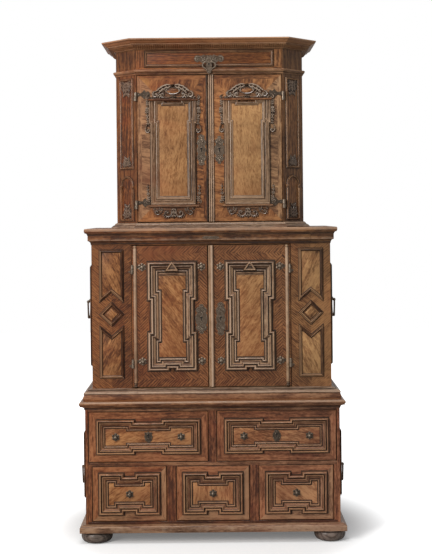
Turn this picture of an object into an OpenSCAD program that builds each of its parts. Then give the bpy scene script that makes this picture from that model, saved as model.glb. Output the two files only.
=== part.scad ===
// Tall walnut cabinet in three tiers, at real size in millimetres. The lowest tier is a chest
// of five drawers on bun feet. A cupboard with two doors and a hidden frieze drawer stands on
// it, and a smaller cupboard with canted corners, a drawer and a cornice stands on that.
// X runs across the front, -Y is the front and +Z is up. The origin is on the floor, in the
// middle of the overall footprint. All three tiers share one flat back.

/* [Feet and plinth] */
// Largest diameter of a bun foot
foot_d = 141; // [110:1:150]
// Height of a bun foot
foot_h = 50; // [40:1:70]
// Distance from the plinth's outer faces to a foot's centre
foot_inset = 71; // [60:1:90]
// Height of the plinth
plinth_h = 34; // [30:1:60]
// How far the plinth stands out from the chest
plinth_out = 26; // [15:1:35]
// Height of the plinth's rounded top edge
plinth_round = 12; // [8:1:20]
// Thickness of the plinth's boards behind the chest's face
plinth_t = 45; // [30:1:60]

/* [Boards] */
// Thickness of a side board
board_t = 22; // [18:1:28]
// Thickness of a back board
back_t = 10; // [8:1:14]
// Thickness of the boards that make the front of each tier
face_t = 26; // [25:1:32]
// Glue line left between two wooden pieces of one group
glue = 0.1; // [0.05:0.05:0.3]

/* [Chest of drawers] */
// Width of the chest
chest_w = 1136; // [1060:2:1240]
// Depth of the chest
chest_d = 560; // [520:2:640]
// Height of the rail under the lower drawers
rail_low_h = 10; // [8:1:20]
// Height of the lower drawers' openings
drawer_low_h = 249; // [230:1:280]
// Height of the rail between the rows of drawers
rail_mid_h = 15; // [10:1:24]
// Height of the upper drawers' openings
drawer_up_h = 229; // [215:1:260]
// Height of the rail over the upper drawers
rail_top_h = 7; // [5:1:20]
// Width of the stiles beside the upper drawers
stile_up_w = 13; // [10:1:20]
// Width of the stiles beside the lower drawers
stile_low_w = 28; // [22:1:36]
// Width of the post between the upper drawers
post_up_w = 34; // [26:1:44]
// Width of each post between the lower drawers
post_low_w = 39; // [30:1:46]
// Width of the middle lower drawer's opening
drawer_mid_w = 330; // [310:1:350]
// Height of the hollow moulding under the top
cove_h = 19; // [14:1:26]
// Thickness of the top board
top_t = 19; // [15:1:26]
// How far the top board's rounded edge stands out
nose_out = 25; // [15:1:30]

/* [Drawers] */
// Gap round a drawer front or a door
gap = 1; // [0.6:0.1:1.5]
// Clearance under a drawer and beside its guides
run_gap = 0.4; // [0.3:0.1:1]
// Thickness of a drawer front
front_t = 22; // [16:1:24]
// Thickness of a drawer's side and back boards
box_t = 11; // [8:1:14]
// Thickness of a drawer's bottom board
box_bottom_t = 8; // [6:1:10]
// How far a drawer's sides stand in from the edges of its front
box_inset = 24; // [22:1:32]
// How much lower a drawer's sides are than its opening
box_drop = 14; // [10:1:24]
// Free depth left behind a closed drawer
box_back_gap = 20; // [12:1:40]
// Width of a drawer guide
guide_w = 10; // [8:1:11]
// Height of a drawer guide
guide_h = 18; // [12:1:20]
// Border between a drawer front's edge and its moulding, upper row
border_up = 37; // [30:1:42]
// Border between a drawer front's edge and its moulding, lower row
border_low = 31; // [26:1:36]
// Width of the moulding on the upper drawers
band_up_w = 38; // [32:1:42]
// Width of the moulding on the lower drawers
band_low_w = 44; // [36:1:46]
// How far a broad moulding stands out
band_h = 14; // [8:1:18]
// Half width of the step in the upper drawers' moulding
notch_up = 61; // [50:1:70]
// Half width of the step in the lower drawers' moulding
notch_low = 26; // [20:1:34]
// Depth of the step in the upper drawers' moulding
notch_up_d = 12; // [8:1:13]
// Depth of the step in the lower drawers' and the upper doors' moulding
notch_low_d = 16; // [10:1:20]
// How far a panel's field stands out inside its moulding
field_h = 4; // [2:0.5:6]
// Radius of a drawer knob's rosette
knob_rose_r = 17; // [12:0.5:19]
// Radius of a drawer knob
knob_r = 11; // [8:0.5:13]
// Length of a drawer knob
knob_l = 21; // [18:1:25]
// Distance from an upper drawer's middle to its knobs
knob_x = 146; // [120:1:160]
// Width of a drawer's keyhole plate
plate_w = 38; // [30:1:46]
// Height of a drawer's keyhole plate
plate_h = 50; // [40:1:52]
// Thickness of the iron plates
iron_t = 2; // [1.5:0.1:3]
// Radius of the round part of a keyhole
key_r = 4; // [3:0.2:5]

/* [Middle cupboard] */
// How far each side of the middle cupboard stands in from the chest's side
mid_in = 28; // [10:1:40]
// How far its front stands back from the chest's front
mid_back = 69; // [50:1:90]
// Height of its base moulding
mid_base_h = 48; // [36:1:56]
// How far its base moulding stands out
mid_base_out = 40; // [24:1:44]
// Height between its base moulding and its frieze
mid_body_h = 646; // [600:2:700]
// Width of each pilaster board
pilaster_w = 179; // [165:1:195]
// Height of the hollow moulding under the frieze
mid_hollow_h = 20; // [14:1:26]
// Height of the frieze
mid_frieze_h = 23; // [18:1:40]
// How far the frieze stands out
mid_frieze_out = 15; // [10:1:20]
// Height of the hollow moulding over the frieze
mid_cove_h = 14; // [10:1:20]
// Thickness of its top board
mid_top_t = 18; // [15:1:26]
// How far its top board stands out
mid_top_out = 30; // [24:1:40]
// Length of the frieze on each side of the hidden drawer
hidden_in = 89; // [70:1:140]
// Depth of the hidden drawer's box behind its front
hidden_d = 330; // [250:5:400]
// Height of its shelf over its floor
mid_shelf_up = 320; // [260:5:400]
// Thickness of a shelf
shelf_t = 18; // [14:1:22]
// Depth of the middle shelf
mid_shelf_d = 380; // [300:5:400]
// Size of the batten under each end of a shelf
batten = 20; // [14:1:26]

/* [Middle doors] */
// Thickness of the middle doors
mid_door_t = 24; // [20:1:25]
// Where the middle doors meet, from the centre line
mid_meet = -13; // [-16:0.5:-10]
// Gap between two doors that meet
meet_gap = 2.4; // [2:0.1:3]
// Border between a middle door's hinge edge and its moulding
mid_border_out = 75; // [68:1:90]
// Distance from the centre line to a middle door's moulding
mid_border_in = 66; // [64:1:80]
// Height of the moulding's lower edge over the door's foot
mid_panel_low = 76; // [60:1:90]
// Height of the moulding on a middle door
mid_panel_h = 491; // [460:1:510]
// Height of the waist over the moulding's lower edge
waist_low = 175; // [150:1:190]
// Height of the waist
waist_h = 142; // [120:1:160]
// Depth of the waist's step
waist_step = 14; // [8:1:18]
// Width of the moulding on a middle door
mid_band_w = 50; // [40:1:56]
// Width of a half-round strip
strip_w = 15; // [12:1:16]
// Distance from the hinge edge to a half-round strip
strip_in = 9; // [9:1:14]
// Distance of a rosette from the door's hinge edge
rose_in = 49; // [44:1:54]
// Distance from the centre line to a rosette beside the meeting edge
rose_mid_x = 43; // [38:1:46]
// Radius of a rosette
rose_r = 17; // [12:1:20]

/* [Pilasters] */
// Half width of the mouldings on a pilaster
pil_half = 54; // [46:1:60]
// Width of the mouldings on a pilaster
pil_band_w = 13; // [9:1:16]
// How far the mouldings on a pilaster stand out
pil_band_h = 10; // [6:1:12]
// Height of the diamond's middle over the pilaster's foot
diamond_up = 335; // [315:1:355]
// Half height of the diamond
diamond_half = 54; // [46:1:60]
// Height of the point in the upper and the lower frame
point_h = 46; // [36:1:56]
// Gap between the diamond's point and the level of a frame's corners
diamond_gap = 0; // [0:1:10]
// Border over the upper frame
pil_top = 21; // [16:1:30]
// Border under the lower frame
pil_low = 46; // [36:1:60]

/* [Upper cupboard] */
// How far each side of the upper cupboard stands in from the middle cupboard's side
up_in = 104.5; // [90:0.5:120]
// How far its front stands back from the middle cupboard's front
up_back = 90; // [60:1:110]
// Size of its canted corners, across and back
cant = 97.5; // [85:0.5:105]
// Height of the arched frame's foot over the foot of a post's face
post_foot = 8; // [4:1:16]
// Height at which its arch springs over the foot of the face
post_spring = 170; // [140:1:200]
// Distance from the top of the arch to the tall frame
post_step = 32; // [20:1:44]
// Distance from the tall frame to the top of the face
post_head = 16; // [8:1:24]
// Width of the moulding of both frames
post_edge_w = 11; // [8:1:14]
// How far that moulding stands out
post_edge_h = 7; // [5:1:9]
// How much nearer to the doors than the middle of the canted face the frames stand
post_shift = 6; // [0:1:10]
// Thickness of its corner posts
post_t = 28; // [25:1:32]
// Height of its base moulding
up_base_h = 25; // [18:1:32]
// How far its base moulding stands out
up_base_out = 28; // [18:1:34]
// Height between its base moulding and its frieze moulding
up_body_h = 681; // [640:1:720]
// Height of the moulding under its frieze
up_mould_h = 24; // [18:1:30]
// How far the moulding under its frieze stands out
up_mould_out = 13; // [8:1:18]
// Height of its frieze over that moulding
up_frieze_h = 90; // [80:1:100]
// Height of the cornice
cornice_h = 45; // [38:1:56]
// How far the cornice stands out
cornice_out = 64; // [50:1:72]
// Thickness of the top board inside the cornice
cornice_board_t = 18; // [14:1:22]
// Length of the frieze board on each side of its drawer
tray_in = 36; // [24:1:60]
// Width of the thin moulding round its drawer's edge
tray_edge_w = 12; // [8:1:16]
// How far that moulding stands out
tray_edge_h = 7; // [4:1:9]
// Half width of the winged keyhole plate
wing_half = 68; // [50:1:90]
// Half width of the lobe under that plate
lobe_half = 20; // [12:1:26]
// Height of the rail over the frieze moulding, under its drawer
tray_rail_h = 8; // [5:1:14]
// Depth of its drawer's box behind the front
tray_d = 280; // [200:5:300]
// Height of the lower shelf over the floor
up_shelf_up = 225; // [180:5:260]
// Height between its shelves
up_shelf_step = 225; // [180:5:260]

/* [Upper doors] */
// Width of the flat between the doors' opening and the canted corner
up_reveal = 3; // [1:0.5:14]
// Thickness of the upper doors
up_door_t = 22; // [18:1:24]
// Where the upper doors meet, from the centre line
up_meet = -7; // [-10:0.5:-5]
// Border between an upper door's hinge edge and its moulding
up_border_out = 60; // [56:1:70]
// Distance from the centre line to an upper door's moulding
up_border_in = 65; // [63:1:72]
// Height of the moulding's lower edge over the door's foot
up_panel_low = 79; // [70:1:90]
// Height of the moulding on an upper door
up_panel_h = 484; // [460:1:500]
// Width of the moulding on an upper door
up_band_w = 39; // [32:1:44]
// Length of the shoulders beside the step in the moulding's head
up_shoulder = 6; // [2:1:12]
// Height of the carved crest
crest_h = 72; // [50:1:80]
// Height of the carved apron
apron_h = 48; // [36:1:56]
// How far the carving stands out
carve_h = 12; // [6:1:16]
// Width of the carved drops beside a panel
drop_w = 12; // [8:1:16]
// Length of the carved drops beside a panel's head
drop_high_l = 136; // [100:1:180]
// Length of the carved drops beside a panel's foot
drop_low_l = 110; // [80:1:150]

/* [Hinges, locks and handles] */
// Radius of a hinge knuckle
knuckle_r = 6; // [5.5:0.1:7]
// Radius of a hinge pin
pin_r = 3; // [2.5:0.1:3.2]
// Clearance between a pin and its bore
pin_gap = 0.06; // [0.03:0.01:0.1]
// Height of a hinge, both knuckles together
hinge_h = 40; // [32:1:50]
// Height of a hinge's middle under the door's head, middle cupboard
mid_hinge_in = 108; // [90:1:130]
// Height of a hinge's middle under the door's head, upper cupboard
up_hinge_in = 100; // [85:1:115]
// Height of a hinge's middle over the door's foot, upper cupboard
up_hinge_low = 80; // [72:1:88]
// Clearance between two knuckles
knuckle_gap = 0.4; // [0.3:0.1:0.8]
// Length of a hinge leaf on the pilaster's face
mid_leaf = 20; // [14:1:30]
// Length of a hinge leaf on the canted post
up_leaf = 14; // [10:1:24]
// Clearance between a fixed knuckle and the door's face
knuckle_face_gap = 0.3; // [0.3:0.1:1]
// Clearance behind the web of a knuckle
web_gap = 0.5; // [0.4:0.1:1]
// Distance from a middle door's opening to its hinge axis, inward
mid_axis_in = 5; // [4:0.5:7]
// Distance from an upper door's opening to its hinge axis, outward
up_axis_out = 4; // [3:0.5:5]
// Height of a lock over the foot of a middle door
mid_lock_up = 308; // [280:1:340]
// Height of a lock over the foot of an upper door
up_lock_up = 330; // [300:1:350]
// Width of the lock plate on the left middle door
mid_plate_left_w = 54; // [40:1:70]
// Height of the lock plate on the left middle door
mid_plate_left_h = 134; // [100:1:160]
// Distance from the centre line to the middle of that plate
mid_plate_left_x = 45; // [40:1:52]
// Width of the lock plate on the right middle door
mid_plate_right_w = 44; // [34:1:56]
// Height of the lock plate on the right middle door
mid_plate_right_h = 150; // [110:1:170]
// Distance from the centre line to the middle of that plate
mid_plate_right_x = 42; // [38:1:50]
// Width of the lock plate on the left upper door
up_plate_left_w = 34; // [26:1:40]
// Height of the lock plate on the left upper door
up_plate_left_h = 146; // [110:1:170]
// Distance from the centre line to the middle of that plate
up_plate_left_x = 33; // [30:1:36]
// Width of the lock plate on the right upper door
up_plate_right_w = 36; // [28:1:42]
// Height of the lock plate on the right upper door
up_plate_right_h = 138; // [110:1:160]
// Distance from the centre line to the middle of that plate
up_plate_right_x = 44; // [40:1:48]
// Height of a lock case
lock_h = 90; // [70:1:110]
// Width of a lock case
lock_w = 84; // [70:1:100]
// Depth of a lock case
lock_t = 15; // [12:1:18]
// Height of a lock bolt
bolt_h = 14; // [10:1:20]
// Thickness of a lock bolt
bolt_t = 6; // [4:1:8]
// Travel of a lock bolt
bolt_travel = 14; // [10:1:18]
// Distance between a lock bolt and the back of the door
bolt_in = 4; // [2:0.5:5]
// Distance from the meeting edge to a lock case
lock_in = 3; // [2.5:0.5:6]
// Width of a keeper's lugs
keeper_w = 18; // [12:1:24]
// Height of a keeper's lugs
keeper_h = 10; // [6:1:14]
// Thickness of the panels on the cabinet's sides
side_panel_t = 15; // [10:1:20]
// Border round a side panel, front and back
side_panel_in = 58; // [45:1:80]
// Width of a side panel's moulded edge
side_edge_w = 26; // [16:1:34]
// Height of a side panel's moulded edge
side_edge_h = 6; // [4:1:8]
// How far a side panel's field stands up inside its edge
side_field_h = 3; // [1:0.5:3.5]
// Height of the chest's side panels
chest_panel_h = 291; // [250:1:330]
// Height of the chest's side panels over the plinth
chest_panel_up = 109; // [90:1:140]
// Height of the middle cupboard's side panels
mid_panel_side_h = 452; // [400:1:500]
// Height of the middle cupboard's side panels over its base moulding
mid_panel_side_up = 97; // [80:1:120]
// Half the distance between a side handle's eyes
eye_half = 50; // [44:1:60]
// Distance from a side panel to the handle's pivot
eye_out = 24; // [20:1:28]
// Outer radius of a handle's eye
eye_r = 7; // [6:0.5:9]
// Length of a handle's eye
eye_l = 9; // [8:1:12]
// Radius of a handle eye's stem
eye_stem_r = 3; // [2:0.5:3.5]
// Radius of the handle's rod
bail_r = 4; // [3.5:0.1:5]
// How far a side handle hangs below its pivot
bail_drop = 76; // [60:1:90]
// Height of the chest handle's pivot over the plinth
chest_handle_up = 210; // [190:1:230]
// Height of the middle handle's pivot over its base moulding
mid_handle_up = 378; // [340:1:400]

/* [Hidden] */
$fn = 48;

WALNUT = [0.42, 0.24, 0.14];
PALE = [0.60, 0.38, 0.20];
MOULD = [0.36, 0.24, 0.17];
PINE = [0.72, 0.56, 0.36];
IRON = [0.24, 0.23, 0.22];

// Fronts, back and sides
chest_half = chest_w / 2;
mid_half = chest_half - mid_in;
up_half = mid_half - up_in;
hidden_half = mid_half - hidden_in;
back_y = (chest_d + plinth_out) / 2;
inner_back = back_y - back_t;
chest_y = back_y - chest_d;
mid_y = chest_y + mid_back;
up_y = mid_y + up_back;

// Levels, from the floor up
z_plinth = foot_h;
z_chest = z_plinth + plinth_h;
z_low = z_chest + rail_low_h;
z_rail = z_low + drawer_low_h;
z_up = z_rail + rail_mid_h;
z_head = z_up + drawer_up_h;
z_cove = z_head + rail_top_h;
z_top = z_cove + cove_h;
z_mid_base = z_top + top_t;
z_mid = z_mid_base + mid_base_h;
z_hollow = z_mid + mid_body_h;
z_frieze = z_hollow + mid_hollow_h;
z_mid_cove = z_frieze + mid_frieze_h;
z_mid_top = z_mid_cove + mid_cove_h;
z_up_base = z_mid_top + mid_top_t;
z_upper = z_up_base + up_base_h;
z_mould = z_upper + up_body_h;
z_up_frieze = z_mould + up_mould_h;
z_tray = z_up_frieze + tray_rail_h;
z_cornice = z_up_frieze + up_frieze_h;
z_roof = z_cornice + cornice_h;

// Plans of the three tiers, from the back on the left round to the back on the right
chest_path = [[-chest_half, back_y], [-chest_half, chest_y], [chest_half, chest_y], [chest_half, back_y]];
mid_path = [[-mid_half, back_y], [-mid_half, mid_y], [mid_half, mid_y], [mid_half, back_y]];
up_path = [[-up_half, back_y], [-up_half, up_y + cant], [-up_half + cant, up_y],
    [up_half - cant, up_y], [up_half, up_y + cant], [up_half, back_y]];

// Openings of the five chest drawers: the middle of each and its width
up_drawer_w = chest_half - stile_up_w - post_up_w / 2;
up_drawer_x = post_up_w / 2 + up_drawer_w / 2;
side_drawer_w = chest_half - stile_low_w - post_low_w - drawer_mid_w / 2;
side_drawer_x = drawer_mid_w / 2 + post_low_w + side_drawer_w / 2;

// Doors, and the drawer over the upper ones
mid_opening = mid_half - pilaster_w;
mid_panel_half = (mid_opening - mid_border_out - mid_border_in) / 2;
mid_panel_x = mid_border_in + mid_panel_half;
up_door_half = up_half - cant - up_reveal;
up_panel_half = (up_door_half - up_border_out - up_border_in) / 2;
up_panel_x = up_border_in + up_panel_half;
tray_half = up_door_half - tray_in;
mid_door_low = z_mid + 2 * gap;
mid_door_top = z_hollow - 2 * gap;
up_door_low = z_upper + 2 * gap;
up_door_top = z_mould - 2 * gap;

// Hinge axes
hinge_off = knuckle_r + knuckle_face_gap;
mid_axis_x = mid_opening - mid_axis_in;
mid_axis_y = mid_y - hinge_off;
up_axis_x = up_door_half + up_axis_out;
up_axis_y = up_y - hinge_off;
knuckle_h = (hinge_h - knuckle_gap) / 2;
mid_hinge_z = [mid_door_low + mid_hinge_in, mid_door_top - mid_hinge_in];
up_hinge_z = [up_door_low + up_hinge_low, up_door_top - up_hinge_in];

// Locks: the case lies on the back of the right door, the bolt shoots left behind the other
mid_lock_z = mid_door_low + mid_lock_up;
up_lock_z = up_door_low + up_lock_up;
mid_lock_y = mid_y + mid_door_t;
up_lock_y = up_y + up_door_t;
bolt_l = lock_w - 10;

// Side handles
chest_panel_y = [chest_y + side_panel_in, back_y - side_panel_in];
mid_panel_y = [mid_y + side_panel_in, back_y - side_panel_in];
side_field = side_panel_t - side_edge_h + side_field_h + glue;
chest_handle_y = (chest_y + back_y) / 2;
mid_handle_y = (mid_y + back_y) / 2;
chest_handle_z = z_chest + chest_handle_up;
mid_handle_z = z_mid + mid_handle_up;

function unit(v) = v / norm(v);
function right_of(d) = [d[1], -d[0]];
function mitre(n0, n1) = (n0 + n1) / (1 + n0 * n1);
function side_normal(path, i) = right_of(unit(path[i + 1] - path[i]));
function corner(path, i) =
    i == 0 ? side_normal(path, 0) :
    i == len(path) - 1 ? side_normal(path, i - 1) :
    mitre(side_normal(path, i - 1), side_normal(path, i));
function inward(outline, i) =
    let (n = len(outline), here = outline[i])
    -mitre(right_of(unit(here - outline[(i + n - 1) % n])),
        right_of(unit(outline[(i + 1) % n] - here)));
function inset(outline, d) = [for (i = [0 : len(outline) - 1]) outline[i] + d * inward(outline, i)];
function moved(outline, by) = [for (p = outline) p + by];

// A board between two corners
module board(x, y, z) {
    translate([x[0], y[0], z[0]]) cube([x[1] - x[0], y[1] - y[0], z[1] - z[0]]);
}

// The same pieces on the left and on the right
module both_sides() {
    children();
    mirror([1, 0, 0]) children();
}

// One straight length of moulding from a to b in plan. The section is a list of [out, up]
// points, anticlockwise, and its first point sees all the others.
module length_of_moulding(a, b, ma, mb, section) {
    n = len(section);
    hair = unit(b - a) * glue / 2;
    polyhedron(
        points = concat(
            [for (q = section) [a[0] + hair[0] + q[0] * ma[0], a[1] + hair[1] + q[0] * ma[1], q[1]]],
            [for (q = section) [b[0] - hair[0] + q[0] * mb[0], b[1] - hair[1] + q[0] * mb[1], q[1]]]),
        faces = concat(
            [for (i = [0 : n - 1]) [i, (i + 1) % n, n + (i + 1) % n, n + i]],
            [[for (i = [n - 1 : -1 : 0]) i]],
            [[for (i = [0 : n - 1]) n + i]]));
}

// A moulding along a plan, mitred at each corner
module moulding(path, section) {
    for (i = [0 : len(path) - 2])
        length_of_moulding(path[i], path[i + 1], corner(path, i), corner(path, i + 1), section);
}

// A moulding in a closed loop on a flat face. The outline is its outer edge, anticlockwise,
// and the section is a list of [inward, proud] points, clockwise.
module frame(outline, section) {
    m = len(outline);
    n = len(section);
    polyhedron(
        points = [for (i = [0 : m - 1]) let (w = inward(outline, i)) for (q = section)
            [outline[i][0] + q[0] * w[0], outline[i][1] + q[0] * w[1], q[1]]],
        faces = [for (i = [0 : m - 1]) for (j = [0 : n - 1])
            [i * n + (j + 1) % n, ((i + 1) % m) * n + (j + 1) % n, ((i + 1) % m) * n + j, i * n + j]]);
}

// Puts flat work, drawn in X and Y and rising in Z, on a front face or on the right side
module on_front(y) {
    translate([0, y, 0]) rotate([90, 0, 0]) children();
}
module on_side(x) {
    translate([x, 0, 0]) rotate([0, 0, 90]) rotate([90, 0, 0]) children();
}

// Section of the broad stepped moulding: a bead, a ridge and a slope to the field
function broad(w, h) = [[0, glue], [0, 0.6 * h], [0.05 * w, 0.8 * h], [0.16 * w, 0.8 * h],
    [0.22 * w, 0.5 * h], [0.36 * w, 0.5 * h], [0.42 * w, h], [0.56 * w, h], [0.66 * w, 0.62 * h],
    [0.84 * w, 0.5 * h], [0.9 * w, 0.62 * h], [w, 0.45 * h], [w, glue]];
// Section of a narrow moulding with one round ridge
function narrow(w, h) = [[0, glue], [0, 0.5 * h], [0.25 * w, h], [0.5 * w, h], [0.8 * w, 0.5 * h],
    [w, 0.3 * h], [w, glue]];

// A rectangle with a step inward at the middle of its head and foot
function stepped(hw, hh, nw, nd) = [[-hw, -hh], [-nw, -hh], [-nw, nd - hh], [nw, nd - hh], [nw, -hh],
    [hw, -hh], [hw, hh], [nw, hh], [nw, hh - nd], [-nw, hh - nd], [-nw, hh], [-hw, hh]];
function rectangle(x, y) = [[x[0], y[0]], [x[1], y[0]], [x[1], y[1]], [x[0], y[1]]];

// A framed panel on a flat face: the moulding and the raised field inside it
module framed_panel(outline, w, h) {
    color(MOULD) frame(outline, broad(w, h));
    color(PALE) translate([0, 0, glue]) linear_extrude(field_h) polygon(inset(outline, w + glue));
}

// A keyhole through flat work, at a point
module keyhole(at) {
    translate([at[0], at[1], -1]) {
        cylinder(r = key_r, h = iron_t + 2);
        translate([-key_r / 2, -2.6 * key_r, 0]) cube([key_r, 2.6 * key_r, iron_t + 2]);
    }
}

// Bun feet
module bun_feet() {
    round_r = foot_h * 0.56;
    outer = foot_d / 2;
    for (sx = [-1, 1], y = [chest_y - plinth_out + foot_inset, back_y - foot_inset])
        color(MOULD)
        translate([sx * (chest_half + plinth_out - foot_inset), y, 0])
        rotate_extrude()
        polygon(concat(
            [[0, 0], [outer - round_r * 0.75, 0]],
            [for (a = [-70 : 15 : 20])
                [outer - round_r + round_r * cos(a), round_r + round_r * sin(a)]],
            [[outer - 4, foot_h], [0, foot_h]]));
}

module plinth() {
    section = concat(
        [[-plinth_t, z_plinth], [plinth_out, z_plinth]],
        [for (a = [0 : 15 : 90])
            [plinth_out * cos(a), z_chest - plinth_round + plinth_round * sin(a)]],
        [[-plinth_t, z_chest]]);
    color(WALNUT) moulding(chest_path, section);
    color(PINE)
        board([-chest_half + plinth_t + glue, chest_half - plinth_t - glue], [back_y - board_t, back_y],
            [z_plinth, z_chest]);
}

module chest_sides() {
    color(WALNUT) both_sides()
        board([chest_half - board_t, chest_half], [chest_y + face_t, inner_back], [z_chest, z_cove]);
}

// Stiles, rails and posts of the chest's front, butted with a glue line
module chest_face_frame() {
    y = [chest_y, chest_y + face_t];
    in_up = chest_half - stile_up_w - glue;
    in_low = chest_half - stile_low_w;
    color(WALNUT) {
        board([-in_up, in_up], y, [z_chest, z_low]);
        board([-in_up, in_up], y, [z_rail, z_up]);
        board([-in_up, in_up], y, [z_head, z_cove]);
        board([-post_up_w / 2, post_up_w / 2], y, [z_up + glue, z_head - glue]);
        both_sides() {
            board([chest_half - stile_up_w, chest_half], y, [z_chest, z_cove]);
            board([in_low, in_up], y, [z_low + glue, z_rail - glue]);
            board([drawer_mid_w / 2, drawer_mid_w / 2 + post_low_w], y, [z_low + glue, z_rail - glue]);
        }
    }
}

// The guides on both sides of one drawer's box
module guides(x, w, z, y0, y1) {
    for (s = [-1, 1])
        translate([x + s * (w / 2 - box_inset + run_gap + guide_w / 2), 0, z + glue])
        board([-guide_w / 2, guide_w / 2], [y0, y1], [0, guide_h]);
}

// Floor of the chest, the dust board between the rows, and the drawers' guides
module chest_boards() {
    x = [-chest_half + board_t, chest_half - board_t];
    y = [chest_y + face_t, inner_back];
    color(PINE) {
        board(x, y, [z_chest, z_low]);
        board(x, y, [z_rail, z_up]);
        for (s = [-1, 1]) {
            guides(s * up_drawer_x, up_drawer_w, z_up, y[0], y[1]);
            guides(s * side_drawer_x, side_drawer_w, z_low, y[0], y[1]);
        }
        guides(0, drawer_mid_w, z_low, y[0], y[1]);
    }
}

module chest_top() {
    nose_r = top_t / 2;
    color(WALNUT) {
        board([-chest_half, chest_half], [chest_y, back_y], [z_cove, z_top - glue]);
        board([-chest_half, chest_half], [chest_y, back_y], [z_top, z_mid_base]);
        moulding(chest_path, concat(
            [[glue, z_top], [nose_out - nose_r, z_top]],
            [for (a = [-60 : 30 : 60])
                [nose_out - nose_r + nose_r * cos(a), z_top + nose_r + nose_r * sin(a)]],
            [[nose_out - nose_r, z_mid_base], [glue, z_mid_base]]));
    }
    color(MOULD) moulding(chest_path, concat(
        [[glue, z_top - glue], [glue, z_cove], [2, z_cove]],
        [for (a = [180 : -22.5 : 90])
            [nose_out - 4 + (nose_out - 6) * cos(a), z_cove + 2 + (cove_h - 4) * sin(a)]],
        [[nose_out - 4, z_top - glue]]));
}

// A panel glued to a side, with a moulded edge and a raised field
module side_panel(half, y, z) {
    outline = rectangle(y, z);
    on_side(half) {
        color(WALNUT) linear_extrude(side_panel_t - side_edge_h) polygon(outline);
        translate([0, 0, side_panel_t - side_edge_h]) {
            color(MOULD) frame(outline, narrow(side_edge_w, side_edge_h));
            color(PALE) translate([0, 0, glue])
                linear_extrude(side_field_h) polygon(inset(outline, side_edge_w + glue));
        }
    }
}

module chest_side_panels() {
    z0 = z_chest + chest_panel_up;
    both_sides() side_panel(chest_half, chest_panel_y, [z0, z0 + chest_panel_h]);
}

module middle_side_panels() {
    z0 = z_mid + mid_panel_side_up;
    both_sides() side_panel(mid_half, mid_panel_y, [z0, z0 + mid_panel_side_h]);
}

// The three tiers' backs
module back_boards() {
    y = [inner_back, back_y];
    color(PINE) {
        board([-chest_half, chest_half], y, [z_chest, z_cove]);
        board([-mid_half, mid_half], y, [z_mid_base, z_mid_top]);
        board([-up_half, up_half], y, [z_up_base, z_cornice + glue]);
    }
}

module middle_base_moulding() {
    o = mid_base_out;
    h = mid_base_h;
    section = [[0, z_mid_base], [o, z_mid_base], [o, z_mid_base + 0.1 * h], [o - 2, z_mid_base + 0.28 * h],
        [o - 7, z_mid_base + 0.5 * h], [o - 7, z_mid_base + 0.56 * h], [o - 9, z_mid_base + 0.66 * h],
        [0.55 * o, z_mid_base + 0.74 * h], [0.5 * o, z_mid_base + 0.84 * h],
        [0.32 * o, z_mid_base + 0.92 * h], [0.15 * o, z_mid - 1], [0, z_mid]];
    color(MOULD) moulding(mid_path, section);
}

module middle_sides() {
    color(WALNUT) both_sides()
        board([mid_half - board_t, mid_half], [mid_y + face_t, inner_back], [z_mid_base, z_mid_top]);
}

// A shelf between two sides, on a batten at each end
module shelf(half, y, z) {
    board([-half + glue, half - glue], y, [z, z + shelf_t]);
    both_sides()
        board([half - batten, half], y, [z - batten - glue, z - glue]);
}

// Floor, base rail, shelf, and the board under the hidden drawer with its guides
module middle_boards() {
    half = mid_half - board_t;
    y = [mid_y + face_t, inner_back];
    color(WALNUT) board([-mid_half, mid_half], [mid_y, mid_y + face_t - glue], [z_mid_base, z_mid]);
    color(PINE) {
        board([-half, half], y, [z_mid - board_t, z_mid]);
        board([-half, half], y, [z_hollow - shelf_t, z_hollow]);
        shelf(half, [inner_back - mid_shelf_d, inner_back], z_mid + mid_shelf_up);
        guides(0, 2 * hidden_half, z_hollow, y[0], y[1]);
    }
}

module middle_pilasters() {
    color(WALNUT) both_sides()
        board([mid_opening, mid_half], [mid_y, mid_y + face_t], [z_mid, z_hollow]);
}

// The upper and the lower frame and the diamond on each pilaster
module pilaster_mouldings() {
    x = mid_opening + pilaster_w / 2;
    mid_z = z_mid + diamond_up;
    shoulder = diamond_half + diamond_gap;
    top = z_hollow - pil_top;
    low = z_mid + pil_low;
    upper = [[-pil_half, mid_z + shoulder], [0, mid_z + shoulder + point_h], [pil_half, mid_z + shoulder],
        [pil_half, top], [-pil_half, top]];
    lower = [[-pil_half, low], [pil_half, low], [pil_half, mid_z - shoulder],
        [0, mid_z - shoulder - point_h], [-pil_half, mid_z - shoulder]];
    diamond_high = diamond_half - glue;
    diamond = [[-pil_half, mid_z], [0, mid_z - diamond_high], [pil_half, mid_z], [0, mid_z + diamond_high]];
    core = pil_half - 2.2 * pil_band_w;
    both_sides() on_front(mid_y) translate([x, 0, 0]) {
        for (outline = [upper, lower]) {
            color(MOULD) frame(outline, narrow(pil_band_w, pil_band_h));
            color(PALE) translate([0, 0, glue])
                linear_extrude(2) polygon(inset(outline, pil_band_w + glue));
        }
        color(MOULD) frame(diamond, narrow(pil_band_w, pil_band_h));
        color(PALE) translate([0, mid_z, 0]) rotate([0, 0, 45])
            translate([0, 0, glue]) linear_extrude(6) square(core * sqrt(2), center = true);
    }
}

// Section of the frieze with the hollow under it. low and high are its edges.
function frieze_section(inner, low, high) = concat(
    [[inner, high], [inner, low], [1, low]],
    [for (a = [0 : 22.5 : 90])
        [mid_frieze_out - (mid_frieze_out - 1) * cos(a), z_frieze - (z_frieze - low) * (1 - sin(a))]],
    [[mid_frieze_out, high]]);

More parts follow.
